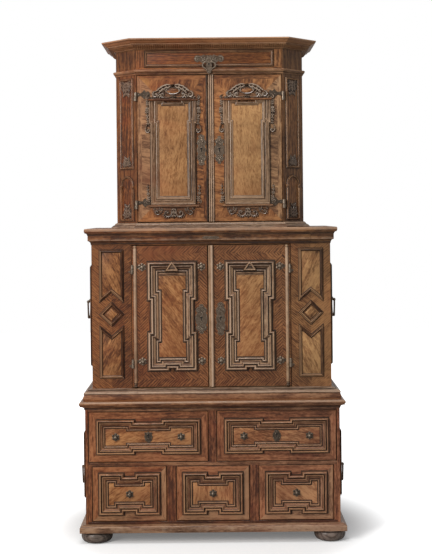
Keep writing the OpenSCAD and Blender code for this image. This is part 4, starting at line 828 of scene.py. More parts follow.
def pierced(work, place, outline, holes, thick, finish):
    """A thin plate with filed edges and holes cut through it."""
    loops = [[Vector(p) for p in outline]] + [[Vector(p) for p in h] for h in holes]
    sheet = bmesh.new()
    for loop in loops:
        made = [sheet.verts.new((p.x, p.y, 0)) for p in loop]
        for a, b in zip(made, made[1:] + made[:1]):
            sheet.edges.new((a, b))
    sheet.verts.index_update()
    bmesh.ops.triangle_fill(sheet, use_beauty=True, edges=sheet.edges[:])
    flat = [[v.index for v in f.verts] for f in sheet.faces]
    sheet.free()
    total = sum(len(loop) for loop in loops)
    points, wear_and_shading, faces = [], [], []
    filed = 0.35 * thick
    for q, h, rub_and_shading in ((0.0, 0.0, -0.6), (0.0, thick - filed, 0.6), (filed, thick, 0.3)):
        for index, loop in enumerate(loops):
            for p, m in zip(loop, mitres(loop, True, 1 if index == 0 else -1)):
                flat_point = p + m * q
                points.append(place @ Vector((flat_point.x, flat_point.y, h)))
                wear_and_shading.append(rub_and_shading)
    faces += [tuple(f) for f in flat] + [tuple(i + 2 * total for i in f) for f in flat]
    for r in (0, 1):
        start = 0
        for loop in loops:
            n = len(loop)
            for i in range(n):
                a, b = r * total + start + i, r * total + start + (i + 1) % n
                faces.append((a, b, b + total, a + total))
            start += n
    work.shell(points, faces, finish, None, wear_and_shading, 0.0)


def key_cut(x, y, r):
    """The outline of a keyhole: a round hole over a slot."""
    head = arc(x, y, r, -60, 240, 12)
    return head + [(x - 0.45 * r, y - 2.6 * r), (x + 0.45 * r, y - 2.6 * r)]


def key_plate(work, place, outline, key, thick=2 * MM, extra=(), finish="iron"):
    """An iron plate with a keyhole, a raised rim round it and a near-black sheet in the hole, painted shade
    for the inside of the lock.
    """
    hole = key_cut(*key)
    pierced(work, place, outline, [hole] + list(extra), thick, finish)
    # A near-black sheet in the keyhole paints the shade inside the lock.
    veneer(work, place, hole, 0.3 * MM, "hollow")
    hem = section_mm([(0.3, -0.5, 0.0), (0.6, 0.6, 0.9), (1.8, 0.7, 1.0), (2.4, -0.5, -0.6)], 0.0, thick)
    bent_length(work, place, outline, hem, finish, 1, 0.0)
    rim = section_mm([(-1.2, 0, 0.2), (-0.2, 0.9, 1.0), (0.9, 0.2, 0.4), (0.9, -0.4, 0.0),
                      (-1.2, -0.4, 0.0)], 0.0, thick)
    bent_length(work, place, hole, rim, finish, -1, 0.0)


def nail(work, place, r=1.8 * MM):
    profile = [(r, 0.0, 0.0), (0.9 * r, 0.45 * r, 0.8), (0.5 * r, 0.75 * r, 1.0), (0.0, 0.85 * r, 1.0)]
    turned(work, place, profile, "iron", 10)


# Sections. Each point is (sideways, up, wear mark): high on rubbed ridges, low at feet and in grooves, where
# it darkens them with dirt and painted shade.

def scaled(section, width, height):
    return [(q * width, h * height, rub_and_shading) for q, h, rub_and_shading in section]


BROAD = [(-0.11, 0.0, -1.0), (-0.11, 0.03, -1.0), (-0.02, 0.05, -1.1), (0.0, 0.4, -0.9), (0.02, 0.66, 0.0),
         (0.06, 0.88, 0.5), (0.12, 1.0, 0.9), (0.17, 0.96, 0.7), (0.2, 0.82, 0.0), (0.225, 0.6, -1.1),
         (0.3, 0.5, -1.2), (0.33, 0.54, -0.9), (0.345, 0.8, 0.4), (0.37, 0.88, 1.0), (0.41, 0.84, 0.8),
         (0.43, 0.7, -0.4), (0.48, 0.56, -0.6), (0.57, 0.43, -0.3), (0.65, 0.36, -0.1), (0.675, 0.26, -1.1),
         (0.735, 0.2, -1.2), (0.765, 0.22, -0.9), (0.785, 0.44, 0.5), (0.82, 0.52, 1.0), (0.87, 0.42, 0.5),
         (0.89, 0.24, -0.8), (0.93, 0.18, -1.2), (1.0, 0.14, -1.0), (1.0, 0.0, -0.9)]
NARROW = [(-0.2, 0.0, -1.2), (-0.2, 0.04, -1.2), (-0.02, 0.06, -1.2), (0.0, 0.4, -0.9), (0.08, 0.7, 0.2),
          (0.18, 0.8, 0.5), (0.25, 0.72, 0.0), (0.28, 0.52, -1.1), (0.36, 0.52, -1.1), (0.42, 0.9, 0.4),
          (0.52, 1.0, 0.8), (0.64, 0.9, 0.4), (0.72, 0.52, -0.9), (0.9, 0.3, -0.6), (1.0, 0.2, -1.0),
          (1.0, 0.0, -0.9)]
STRIP = [(-0.12, 0.0, -1.3), (-0.12, 0.03, -1.3), (-0.02, 0.05, -1.3), (0.0, 0.5, -1.0), (0.05, 0.8, 0.0),
         (0.12, 0.98, 0.6), (0.2, 1.0, 0.7), (0.26, 0.92, 0.1), (0.3, 0.8, -0.4), (0.45, 0.72, 0.0),
         (0.7, 0.72, 0.0), (0.85, 0.7, -0.2), (0.92, 0.62, -0.5), (1.0, 0.5, -0.6), (1.0, 0.0, -0.9)]
BEAD = [(0.0, 0.0, -0.8), (0.0, 0.4, -0.6), (0.06, 0.5, -0.4), (0.1, 0.74, 0.3), (0.18, 0.94, 0.9),
        (0.28, 1.0, 0.9), (0.36, 0.86, 0.3), (0.42, 0.68, -0.4), (0.6, 0.58, 0.1), (0.78, 0.52, 0.3),
        (0.88, 0.4, -0.5), (1.0, 0.3, -0.8), (1.0, 0.0, -0.9)]
RIM = [(-0.15, 0.0, -1.2), (-0.15, 0.1, -1.2), (0.0, 0.36, -0.9), (0.14, 0.5, -0.3), (0.26, 0.86, 0.5),
       (0.44, 1.0, 0.9), (0.62, 0.9, 0.5), (0.76, 0.6, -0.2), (0.86, 0.36, -0.9), (1.0, 0.24, -1.0),
       (1.0, 0.0, -0.9)]


# Plans of the three tiers, from the back on the left round to the back on the right
CHEST_PLAN = [(-CHEST_HALF, BACK_Y), (-CHEST_HALF, CHEST_Y), (CHEST_HALF, CHEST_Y), (CHEST_HALF, BACK_Y)]
MID_PLAN = [(-MID_HALF, BACK_Y), (-MID_HALF, MID_Y), (MID_HALF, MID_Y), (MID_HALF, BACK_Y)]
UP_PLAN = [(-UP_HALF, BACK_Y), (-UP_HALF, UP_Y + CANT), (-UP_HALF + CANT, UP_Y), (UP_HALF - CANT, UP_Y),
           (UP_HALF, UP_Y + CANT), (UP_HALF, BACK_Y)]


def run_round(work, plan, section, finish="edge", tone=None):
    length(work, PLAN, plan, section, finish, False, -1, tone)


# The chest of drawers

def feet():
    work = Work()
    low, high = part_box("bun_feet")
    r = 70.5 * MM
    rings = ((0.6, 0, -0.6), (0.74, 1, -0.4), (0.87, 6, 0.0), (0.955, 14, 0.3), (0.995, 24, 0.5),
             (1.0, 31, 0.4), (0.985, 37, 0.2), (0.95, 41.5, -0.2), (0.9, 42.5, -1.0), (0.9, 44.5, -1.0),
             (0.93, 46, 0.2), (0.93, 49, 0.2), (0.9, 50, -0.5))
    profile = [(share * r, h * MM, rub_and_shading) for share, h, rub_and_shading in rings]
    for x in (low.x + r, high.x - r):
        for y in (low.y + r, high.y - r):
            turned(work, Matrix.Translation((x, y, 0)), profile, "foot", 64)
    work.make("bun_feet_turned", "carcase", ["bun_feet"])


def plinth():
    work = Work()
    out, round_edge, inner = 26 * MM, 12 * MM, -45 * MM
    section = [(inner, Z_PLINTH, 0.0), (out - 1 * MM, Z_PLINTH, 0.0), (out, Z_PLINTH + 1 * MM, 0.3)]
    section += swept(0.0, Z_CHEST - round_edge, out, round_edge, range(0, 91, 10), lambda a: 0.5 - a / 110)
    section += [(inner, Z_CHEST, -0.2)]
    run_round(work, CHEST_PLAN, section, "rubbed_moulding", 0.3)
    back = CHEST_HALF - 46 * MM
    board(work, (-back, BACK_Y - 22 * MM, Z_PLINTH), (back, BACK_Y, Z_CHEST), "pine")
    work.make("plinth_boards", "carcase", ["plinth"])


def chest_front():
    work = Work()
    y0, y1 = CHEST_Y, CHEST_Y + FACE
    up_stile, low_stile = CHEST_HALF - 13 * MM, CHEST_HALF - 28 * MM
    low_rail, rail_foot, rail_head, top_rail = 94 * MM, 343 * MM, 358 * MM, 587 * MM
    rails = ((Z_CHEST, Z_CHEST + 10 * MM), (rail_foot, rail_head), (top_rail, Z_COVE))
    for (z0, z1), tone in zip(rails, (-0.9, 0.0, -0.1)):
        board(work, (-up_stile, y0, z0), (up_stile, y1, z1), "moulding", 0, tone=tone)
    board(work, (-17 * MM, y0, rail_head), (17 * MM, y1, top_rail), "soft_walnut", 2, tone=-0.55)
    for s in (-1, 1):
        for near, far, z0, z1, tone in ((up_stile, CHEST_HALF, Z_CHEST, Z_COVE, 0.25 * s - 0.35),
                                        (low_stile, up_stile, low_rail, rail_foot, -0.3),
                                        (165 * MM, 204 * MM, low_rail, rail_foot, -0.6 + 0.1 * s)):
            xs = sorted((s * near, s * far))
            board(work, (xs[0], y0, z0), (xs[1], y1, z1), "soft_walnut", 2, tone=tone)
    work.make("chest_stiles_and_rails", "carcase", ["chest_face_frame"])


def chest_top():
    work = Work()
    r, nose_x, cove_x = 9.5 * MM, 15.5 * MM, 21 * MM
    nose = [(0.0, Z_TOP, 0.0), (nose_x, Z_TOP, -0.3)]
    nose += swept(nose_x, Z_TOP + r, r, r, range(-75, 90, 15), lambda a: 0.2 + 0.8 * (a > 0))
    nose += [(14 * MM, Z_MID_BASE, 0.3), (0.0, Z_MID_BASE, 0.0)]
    run_round(work, CHEST_PLAN, nose, "edge", -0.2)
    cove = [(0.0, Z_TOP, 0.0)] + section_mm([(0, 0, -0.5), (2.5, 0, 0.6), (2.5, 2.5, 0.4)], 0.0, Z_COVE)
    # The cove darkens towards its deep inner foot under the nose: dirt and painted shade.
    cove += swept(cove_x, Z_COVE + 3 * MM, -18 * MM, 13.5 * MM, range(0, 91, 15), lambda a: -0.9 + a / 90)
    cove += [(cove_x, Z_TOP, 0.4)]
    run_round(work, CHEST_PLAN, cove, tone=-0.2)
    board(work, (-CHEST_HALF, CHEST_Y, Z_TOP), (CHEST_HALF, BACK_Y, Z_MID_BASE - HAIR), "walnut", 0)
    board(work, (-CHEST_HALF, CHEST_Y, Z_COVE), (CHEST_HALF, BACK_Y, Z_TOP - HAIR), "pine", 0)
    work.make("chest_top_and_moulding", "carcase", ["chest_top"])


def stepped(hw, hh, nw, nd):
    """A rectangle with a step inward at the middle of its head and foot."""
    return [(-hw, -hh), (-nw, -hh), (-nw, nd - hh), (nw, nd - hh), (nw, -hh), (hw, -hh), (hw, hh), (nw, hh),
            (nw, hh - nd), (-nw, hh - nd), (-nw, hh), (-hw, hh)]


LIP = 4 * MM
# The bevel's lowest points darken the gap round a drawer or door with dirt and painted shadow.
BEVEL = section_mm([(0, 0, -1.2), (0, 0.6, -1.2), (1.6, 1.2, -1.2), (2.6, 2, -0.8), (3.4, 3.6, 0.2),
                    (4, 4, 0.6), (5.2, 4, 0.2), (5.2, 0, 0.0)], 0.0, -LIP)


def leaf_board(work, low_x, high_x, low_z, high_z, face_y, thick):
    """A door's board with a bevelled edge. Gives back the face and the outline inside the bevel."""
    board(work, (low_x, face_y + LIP, low_z), (high_x, face_y + thick, high_z), "walnut", 2)
    edge = rectangle(low_x, high_x, low_z, high_z)
    length(work, on_front(face_y), edge, [(0.75 * q, h, rub_and_shading) for q, h, rub_and_shading in BEVEL], "walnut", True)
    return moved(on_front(face_y), 0, 0, -LIP), inset(edge, 3.8 * MM)


def drawer_front(name, border, ring, notch, notch_d, figure, tone, border_tone, odd):
    """Front of a chest drawer: bevelled and mitred border, stepped moulding and figured field."""
    work = Work()
    low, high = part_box(name)
    x, z = (low.x + high.x) / 2, (low.z + high.z) / 2
    hw, hh = (high.x - low.x) / 2, (high.z - low.z) / 2
    board(work, (low.x, CHEST_Y + LIP, low.z), (high.x, CHEST_Y + 22 * MM, high.z), "walnut", 0)
    face = moved(on_front(CHEST_Y), x, z)
    edge = rectangle(-hw, hw, -hh, hh)
    length(work, face, edge, BEVEL, "walnut", True, tone=0.0, painted_light=0.15)
    widths = [border - 4 * MM, 34 * MM]
    bed = moved(face, 0, 0, -LIP)
    banding(work, bed, inset(edge, 5 * MM), widths, [0, 0], LIP, "soft_walnut", border_tone, 0.0, odd)
    outline = stepped(hw - border, hh - border, notch, notch_d)
    length(work, face, outline, scaled(BROAD, ring, 15 * MM), "moulding", True, tone=0.3, painted_light=0.35)
    field = inset(outline, ring - 0.5 * MM)
    veneer(work, face, field, 3.6 * MM, "walnut_figure", figure, -0.5 * MM, 1.6 * MM, tone=tone)
    work.make(name + "_veneered", name.replace("_front", ""), [name])


def knob(work, place):
    petalled(work, place, 18 * MM, 6, 6.5 * MM, "dark_iron", 0.8)
    profile = section_mm([(5, 2, -0.8), (3.6, 6, -1.0), (4, 9, -0.6), (6.6, 11, 0.0), (8.2, 14, 0.3),
                          (7.8, 17, 0.6), (5.6, 19.4, 0.9), (2.8, 20.4, 0.8), (2.2, 20.9, 1.0), (0, 21, 1.0)])
    turned(work, place, profile, "dark_iron", 28)


SHIELD = [(-0.5, 0.0), (-0.46, 0.12), (-0.38, 0.3), (-0.24, 0.42), (-0.1, 0.4), (0.02, 0.5), (0.16, 0.42),
          (0.28, 0.4), (0.36, 0.5), (0.42, 0.34), (0.4, 0.16), (0.5, 0.0)]
OVAL = both_ends((-0.5, 0.0), (-0.49, 0.16), (-0.4, 0.3), (-0.36, 0.28), (-0.2, 0.46), (-0.15, 0.43),
                 (0.0, 0.5))
LONG = both_ends((-0.5, 0.0), (-0.48, 0.2), (-0.4, 0.3), (-0.36, 0.46), (-0.2, 0.5), (-0.12, 0.38),
                 (0.0, 0.5))


def drawer_iron(side, profile):
    name = f"drawer_upper_{side}"
    work = Work()
    low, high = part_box(name + "_front")
    face = moved(on_front(CHEST_Y), (low.x + high.x) / 2, (low.z + high.z) / 2, 3.6 * MM)
    for s in (-1, 1):
        knob(work, moved(face, s * 146 * MM, 0))
    key_plate(work, face, shaped(profile, (38 * MM, 50 * MM)), (0.0, 8 * MM, 6.2 * MM), finish="dark_iron")
    for a, b in ((-13, -9), (13, -9), (0, 20)):
        nail(work, moved(face, a * MM, b * MM, 1.8 * MM), 1.5 * MM)
    work.make(name + "_knobs_and_keyplate", name, [name + "_iron"])


def lower_drawer_iron(side):
    name = f"drawer_lower_{side}"
    work = Work()
    low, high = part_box(name + "_front")
    knob(work, moved(on_front(CHEST_Y), (low.x + high.x) / 2, (low.z + high.z) / 2, 3.6 * MM))
    work.make(name + "_knob", name, [name + "_iron"])


def side_panels(name, half, figure):
    """Raised panels glued to both sides of a tier."""
    work = Work()
    low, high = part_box(name)
    outline = rectangle(low.y, high.y, low.z, high.z)
    for s in (-1, 1):
        side = on_side(half, s)
        veneer(work, side, outline, 9 * MM, "walnut", 90, 0.0, 1.2 * MM)
        face = moved(side, 0, 0, 9 * MM)
        length(work, face, outline, scaled(NARROW, 26 * MM, 6 * MM), "moulding", True)
        veneer(work, face, inset(outline, 26 * MM), 3.1 * MM, "walnut_figure", figure, 0.0, 1.2 * MM)
    work.make(name + "_raised", "carcase", [name])


def eye_places(tier, half):
    """Along, up and out: the middle between a handle's eyes, and the face of their plates."""
    low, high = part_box(f"{tier}_bail_right")
    return (low.y + high.y) / 2, high.z - 5.5 * MM, half + 12.1 * MM


def handle_eyes():
    work = Work()
    shank = section_mm([(3.6, 2, 0.0), (2.8, 10, 0.0), (3.4, 18, 0.4)])
    for tier, half in (("chest", CHEST_HALF), ("middle", MID_HALF)):
        y, z, x = eye_places(tier, half)
        for s in (-1, 1):
            for e in (-1, 1):
                place = moved(on_side(x, s), y + e * EYE_FROM_MIDDLE, z)
                petalled(work, place, 14 * MM, 8, 5 * MM, "iron")
                turned(work, place, shank, "iron", 16)
                eye_ring(work, s * (x + EYE_REACH), y + e * EYE_FROM_MIDDLE, z)
    work.make("side_handle_eyes", "carcase", ["handle_eyes"])


def eye_ring(work, x, y, z):
    """A bored eye: a short thick tube across the cabinet's side."""
    place = Matrix.Translation((x, y, z)) @ Matrix.Rotation(math.radians(90), 4, "X")
    segments = 28
    section = section_mm([(3.1, -4.5, -0.8), (6.2, -4.5, 0.4), (7, -3.4, 0.9), (7, 3.4, 0.9),
                          (6.2, 4.5, 0.4), (3.1, 4.5, -0.8)])
    points, wear_and_shading = [], []
    for i in range(segments):
        a = math.tau * i / segments
        for r, h, rub_and_shading in section:
            points.append(place @ Vector((r * math.cos(a), r * math.sin(a), h)))
            wear_and_shading.append(rub_and_shading)
    work.shell(points, ring_faces(segments, len(section), True), "iron", None, wear_and_shading, 0.0)


def bail(tier, side, half):
    """A drop handle: a pin in each eye, curved arms and a turned grip."""
    work = Work()
    s = -1 if side == "left" else 1
    y, z, x = eye_places(tier, half)
    x = s * (x + EYE_REACH)
    shape = [(60.5, 0, 4.2), (61, -14, 4.0), (58, -34, 3.8), (52, -54, 4.0), (46, -68, 4.4), (38, -75, 5.0),
             (28, -76, 3.6), (22, -76, 3.8), (18, -76, 5.6), (13, -76, 4.0), (9, -76, 6.2), (0, -76, 7.4)]
    right = curve(shape, 4)
    whole = [Vector((-p.x, p.y, p.z)) for p in right[:-1]] + [right[-1]] + list(reversed(right[:-1]))
    line = [Vector((x, y + p.x * MM, z + p.y * MM)) for p in whole]
    rod(work, line, [p.z * MM for p in whole], "iron", 14, 0.45)
    knuckle = section_mm([(0, -5.5, 0.6), (3.5, -4.2, 0.6), (5.5, 0, 0.6), (3.5, 4.2, 0.6), (0, 5.5, 0.6)])
    for e in (-1, 1):
        pin = [Vector((x, y + e * a * MM, z)) for a in (45.5, 60)]
        rod(work, pin, [3 * MM, 3 * MM], "iron", 20, 0.2)
        turned(work, Matrix.Translation((x, y + e * 60.5 * MM, z)), knuckle, "iron", 20)
    work.make(f"{tier}_{side}_drop_handle", f"{tier}_bail_{side}", [f"{tier}_bail_{side}"])


# The middle cupboard

def middle_base():
    work = Work()
    lower = [(0, 0, 0.0), (39, 0, 0.3), (40, 1, 0.4), (40, 6, 0.3), (39, 14, 0.1), (36, 22, 0.1),
             (35, 24, -0.6), (0, 24, -0.6)]
    upper = [(0, 24, -0.6), (35, 24, -0.6), (37, 26, 0.5), (37.6, 29, 1.0), (36, 32.5, 1.0), (32, 35, 0.8),
             (25, 37.5, 0.2), (20, 40, -0.8), (18, 42, -1.0), (15, 43, -0.2), (9, 45.5, 0.4),
             (4, 47.2, 0.3), (0, 48, -0.5)]
    run_round(work, MID_PLAN, section_mm(lower, 0.0, Z_MID_BASE), tone=0.0)
    run_round(work, MID_PLAN, section_mm(upper, 0.0, Z_MID_BASE), "dusty", 0.1)
    work.make("middle_base_moulding_run", "carcase", ["middle_base_moulding"])


def pilaster_outlines():
    """The upper frame, the diamond and the lower frame of a pilaster."""
    half, mid = 54 * MM, Z_MID + 335 * MM
    point, shoulder = 46 * MM, 54 * MM
    top, foot = Z_HOLLOW - 21 * MM, Z_MID + 46 * MM
    upper = [(-half, mid + shoulder), (0, mid + shoulder + point), (half, mid + shoulder), (half, top),
             (-half, top)]
    lower = [(-half, foot), (half, foot), (half, mid - shoulder), (0, mid - shoulder - point),
             (-half, mid - shoulder)]
    diamond = [(-half, mid), (0, mid - shoulder), (half, mid), (0, mid + shoulder)]
    return upper, diamond, lower


def pilasters():
    boards = Work()
    frames = Work()
    bands = 8
    tall = Z_HOLLOW - Z_MID
    upper, diamond, lower = pilaster_outlines()
    section = scaled(NARROW, 13 * MM, 10 * MM)
    for s in (-1, 1):
        face = on_front(MID_Y) if s > 0 else flipped(on_front(MID_Y))
        face = moved(face, MID_OPENING + PILASTER / 2, 0)
        xs = sorted((s * MID_OPENING, s * MID_HALF))
        board(boards, (xs[0], MID_Y + VENEER, Z_MID), (xs[1], MID_Y + FACE, Z_HOLLOW), "walnut", 2)
        for side in (-1, 1):
            xs = sorted((0.0, side * PILASTER / 2))
            for k in range(bands):
                strip = rectangle(xs[0], xs[1], Z_MID + tall * k / bands, Z_MID + tall * (k + 1) / bands)
                veneer(boards, moved(face, 0, 0, -VENEER), strip, VENEER, "walnut_band", side * 40,
                       tone=0.1 + 0.25 * side + 0.15 * s)
        for outline, angle in ((upper, 64), (lower, -64)):
            length(frames, face, outline, section, "moulding", True, painted_light=1.0)
            veneer(frames, face, inset(outline, 12.5 * MM), 2 * MM, "burl", angle, 0.0, 0.8 * MM,
                   tone=0.05 + 0.25 * s)
        length(frames, face, diamond, section, "moulding", True, painted_light=1.0)
        veneer(frames, face, inset(diamond, 19 * MM), 6 * MM, "burl", 45, 0.0, 2.5 * MM, 0.9, -0.1)
    boards.make("pilaster_veneers", "carcase", ["middle_pilasters"])
    frames.make("pilaster_frames_and_diamonds", "carcase", ["pilaster_mouldings"])


def frieze_section(inner):
    out = 15 * MM
    section = [(inner, Z_MID_COVE, 0.0), (inner, Z_HOLLOW + 1 * MM, 0.0)]
    section += section_mm([(1.5, 1, 0.3), (1.5, 3, 0.2)], 0.0, Z_HOLLOW)
    # The hollow darkens towards its deep inner foot: dirt and painted shade.
    section += swept(out, Z_FRIEZE - out, -12.5 * MM, out, range(0, 91, 15), lambda a: -1.0 + a / 70)
    return section + [(out, Z_FRIEZE + 1 * MM, 0.8), (out, Z_MID_COVE, 0.0)]


def middle_cornice():
    work = Work()
    for s in (-1, 1):
        end = [(-MID_HALF, BACK_Y), (-MID_HALF, MID_Y), (-HIDDEN_HALF, MID_Y)]
        if s > 0:
            end = [(-x, y) for x, y in reversed(end)]
        run_round(work, end, frieze_section(0.0), "walnut_band", -0.3)
        xs = sorted((s * HIDDEN_HALF, s * MID_HALF))
        board(work, (xs[0], MID_Y + HAIR, Z_HOLLOW), (xs[1], MID_Y + FACE, Z_MID_TOP), "walnut", 0)
    out = 27 * MM
    cove = [(0.0, Z_MID_TOP, 0.0)] + section_mm([(0, 0, 0.0), (15, 0, 0.4), (15.5, 2, 0.2)], 0.0, Z_MID_COVE)
    # The cove darkens towards its deep inner foot: dirt and painted shade.
    cove += swept(out, Z_MID_COVE + 2 * MM, -10.5 * MM, 10 * MM, range(0, 91, 15), lambda a: -1.0 + a / 80)
    run_round(work, MID_PLAN, cove + [(out, Z_MID_TOP, 0.2)], tone=-0.2)
    edge = section_mm([(0, 0, 0.0), (27, 0, 0.0), (28.5, 1.5, 0.5), (29, 4, -0.4), (30, 5.5, 0.7)],
                      0.0, Z_MID_TOP)
    rounding = Z_UP_BASE - Z_MID_TOP - 9 * MM
    edge += swept(out, Z_MID_TOP + 9 * MM, 3 * MM, rounding, range(0, 91, 18), lambda a: 1.0)
    run_round(work, MID_PLAN, edge + [(0.0, Z_UP_BASE, 0.2)], "walnut", -0.2)
    board(work, (-MID_HALF, MID_Y, Z_MID_TOP), (MID_HALF, BACK_Y, Z_UP_BASE - HAIR), "walnut", 0)
    work.make("middle_frieze_ends_and_top", "carcase", ["middle_cornice"])


def hidden_drawer():
    work = Work()
    half = HIDDEN_HALF - 1 * MM
    section = [(q, h - (1 * MM if h > Z_MID_COVE - 0.1 * MM else 0.0), rub_and_shading)
               for q, h, rub_and_shading in frieze_section(-22 * MM)]
    length(work, PLAN, [(-half, MID_Y), (half, MID_Y)], section, "walnut_band", False, -1, tone=-0.3)
    wall = 11 * MM
    y0, y1 = MID_Y + 22 * MM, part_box("hidden_drawer")[1].y
    z0, z1 = Z_HOLLOW + 0.4 * MM, Z_MID_TOP - 14 * MM
    side = HIDDEN_HALF - 24 * MM
    inner = side - wall
    for s in (-1, 1):
        xs = sorted((s * side, s * inner))
        board(work, (xs[0], y0, z0), (xs[1], y1, z1), "pine", 1)
    board(work, (-inner, y1 - wall, z0), (inner, y1, z1), "pine", 0)
    board(work, (-inner, y0, z0), (inner, y1 - wall, z0 + 8 * MM), "pine", 0)
    work.make("hidden_drawer_frieze_and_box", "hidden_drawer", ["hidden_drawer"])
    plate = Work()
    place = moved(on_front(MID_Y - 15 * MM), 0.0, (Z_FRIEZE + Z_MID_COVE) / 2)
    key_plate(plate, place, shaped(LONG, (15 * MM, 75 * MM), 90), (0.0, 1.5 * MM, 2.6 * MM))
    for s in (-1, 1):
        nail(plate, moved(place, s * 29 * MM, 0, 1.8 * MM), 1.5 * MM)
    plate.make("hidden_drawer_keyplate_cut", "hidden_drawer", ["hidden_drawer_keyplate"])


WAISTED_LOW = 175 * MM
WAIST = 142 * MM


def waisted(hw, h, step, notch, notch_d):
    """Outline of a middle door's moulding: stepped in at the waist and up at its foot."""
    s = hw - step
    low, high = WAISTED_LOW, WAISTED_LOW + WAIST
    return [(-hw, 0), (-notch, 0), (-notch, notch_d), (notch, notch_d), (notch, 0), (hw, 0), (hw, low),
            (s, low), (s, high), (hw, high), (hw, h), (-hw, h), (-hw, high), (-s, high), (-s, low),
            (-hw, low)]


def half_round(work, place, z0, z1, r):
    """A half-round strip down a door, with a small turned head and foot."""
    foot = ((0, 0, 0.0), (0.8, 0, -1.0), (1.15, 4, -0.6), (0.8, 8, -1.0), (0.62, 10, -1.0), (1.05, 14, -0.5),
            (0.7, 18, -1.0), (1.0, 20, 0.4))
    head = ((1.0, -12, 0.8), (0.7, -9, -0.9), (1.0, -5, 0.6), (0.9, 0, 0.2), (0, 0, 0.0))
    profile = [(share * r, z0 + h * MM, rub_and_shading) for share, h, rub_and_shading in foot]
    profile += [(share * r, z1 + h * MM, rub_and_shading) for share, h, rub_and_shading in head]
    upright = place @ Matrix(((1, 0, 0, 0), (0, 0, 1, 0), (0, -1, 0, 0), (0, 0, 0, 1)))
    turned(work, upright, profile, "rubbed_moulding", 24, 1.0)


def middle_door(side):
    s = -1 if side == "left" else 1
    name = f"middle_door_{side}"
    work = Work()
    z0, z1 = Z_MID + 2 * MM, Z_HOLLOW - 2 * MM
    inner = (-13 + 1.2 * s) * MM
    outer = s * (MID_OPENING - 1 * MM)
    xs = sorted((inner, outer))
    front = on_front(MID_Y)
    bed, edge = leaf_board(work, xs[0], xs[1], z0, z1, MID_Y, 24 * MM)
    banding(work, bed, edge, [34 * MM, 36 * MM, 24 * MM], [45, -45, 0], LIP, "door_band", 0.0)
    face = moved(front, s * 176 * MM, z0 + 76 * MM)
    tall, ring = 491 * MM, 50 * MM
    outline = waisted(110 * MM, tall, 14 * MM, 15 * MM, 11 * MM)
    length(work, face, outline, scaled(BROAD, ring, 16 * MM), "rubbed_moulding", True,
           tone=-0.4, painted_light=0.5, upright=1.2)
    fw, sw = 61 * MM, 47 * MM
    foot, head = ring + 11 * MM, tall - ring
    low, high = WAISTED_LOW - ring, WAISTED_LOW + WAIST + ring
    field = [(-fw, foot), (fw, foot), (fw, low), (sw, low), (sw, high), (fw, high), (fw, head), (-fw, head),
             (-fw, high), (-sw, high), (-sw, low), (-fw, low)]
    veneer(work, face, field, 4 * MM, "field", 52 * s, 0.0, 1.8 * MM, tone=0.1 * s)
    band = rectangle(-fw + 1 * MM, fw - 1 * MM, head - 13 * MM, head + 1 * MM)
    veneer(work, face, band, 6 * MM, "rubbed_moulding", 0, 0.0, 2 * MM, 0.6, -0.4)
    gable = line_mm((-31, 449), (31, 449), (13, 478), (0, 493), (-13, 478))
    place = moved(face, 0, 0, 5 * MM)
    bent_length(work, place, gable, scaled(RIM, 10 * MM, 15 * MM), "rubbed_moulding", tone=1.0)
    veneer(work, place, inset(gable, 8 * MM), 7 * MM, "dark_carving_and_shade", 0, 0.0, 1 * MM)
    frond(work, face, line_mm((0, 8), (0, 1), (0, -7)), [3 * MM, 5.5 * MM, 1 * MM], 9 * MM, "moulding")
    half_round(work, moved(front, outer - s * 16.5 * MM, 0), z0 + 2 * MM, z1 - 2 * MM, 7.4 * MM)
    if s > 0:
        bead = section_mm([(0, 0, -0.5), (0, 3.4, 0.4), (7.5, 4, 0.2), (8.2, 3.6, -0.8), (9.5, 7.5, 0.4),
                           (12, 10.4, 1.0), (15.5, 11.2, 1.0), (19, 10.2, 0.9), (21.6, 7.2, 0.3),
                           (23, 3.4, -0.7), (24, 0, -0.6)])
        seam = [(inner, z1 - 2 * MM), (inner, z0 + 2 * MM)]
        length(work, front, seam, bead, "rubbed_moulding", tone=1.0)
    work.make(name + "_leaf", name, [name])


LOCK = both_ends((-0.5, 0.0), (-0.49, 0.12), (-0.455, 0.2), (-0.42, 0.15), (-0.385, 0.32), (-0.32, 0.46),
                 (-0.25, 0.42), (-0.2, 0.35), (-0.14, 0.45), (-0.05, 0.5))
TALL = [(-0.5, 0.0), (-0.49, 0.16), (-0.44, 0.34), (-0.38, 0.28), (-0.3, 0.44), (-0.2, 0.48), (-0.13, 0.38),
        (-0.06, 0.46), (0.0, 0.5), (0.06, 0.46), (0.13, 0.38), (0.2, 0.48), (0.3, 0.46), (0.38, 0.28),
        (0.44, 0.34), (0.49, 0.16), (0.5, 0.0)]


def lock_plate(work, face_y, x, z, size, profile):
    place = moved(on_front(face_y), x, z)
    key_plate(work, place, shaped(profile, size), (0.0, 6 * MM, 6.4 * MM))
    wide, tall = size
    lead = [(0.06 * wide, 0.13 * tall), (0.12 * wide, 0.22 * tall)]
    eye = (0.22 * wide, 0.27 * tall)
    spine = [(0, 0.3 * tall), (0, 0.38 * tall), (0, 0.46 * tall)]
    for half in (place, turned_by(place, 180)):
        on_plate = moved(half, 0, 0, 1.5 * MM)
        for limb in (on_plate, flipped(on_plate)):
            scroll(work, limb, lead, eye, 0.13 * wide, 150, 1.0, -1, 0.05 * wide, 3 * MM, "iron")
        leaf(work, on_plate, spine, 0.17 * wide, 3 * MM, 2, "iron")
        nail(work, moved(half, 0.0, 0.22 * tall, 1.8 * MM))


def knuckles(work, s, axis_x, axis_y, levels):
    """The door's upper half of each hinge."""
    profile = section_mm([(5.2, 0, 0.3), (6, 0.8, 0.8), (6, 18.6, 0.8), (5.2, 19.4, 0.5), (3.6, 20.4, 0.6),
                          (0, 21, 0.8)])
    for z in levels:
        turned(work, Matrix.Translation((s * axis_x, axis_y, z + 0.2 * MM)), profile, "iron", 24)


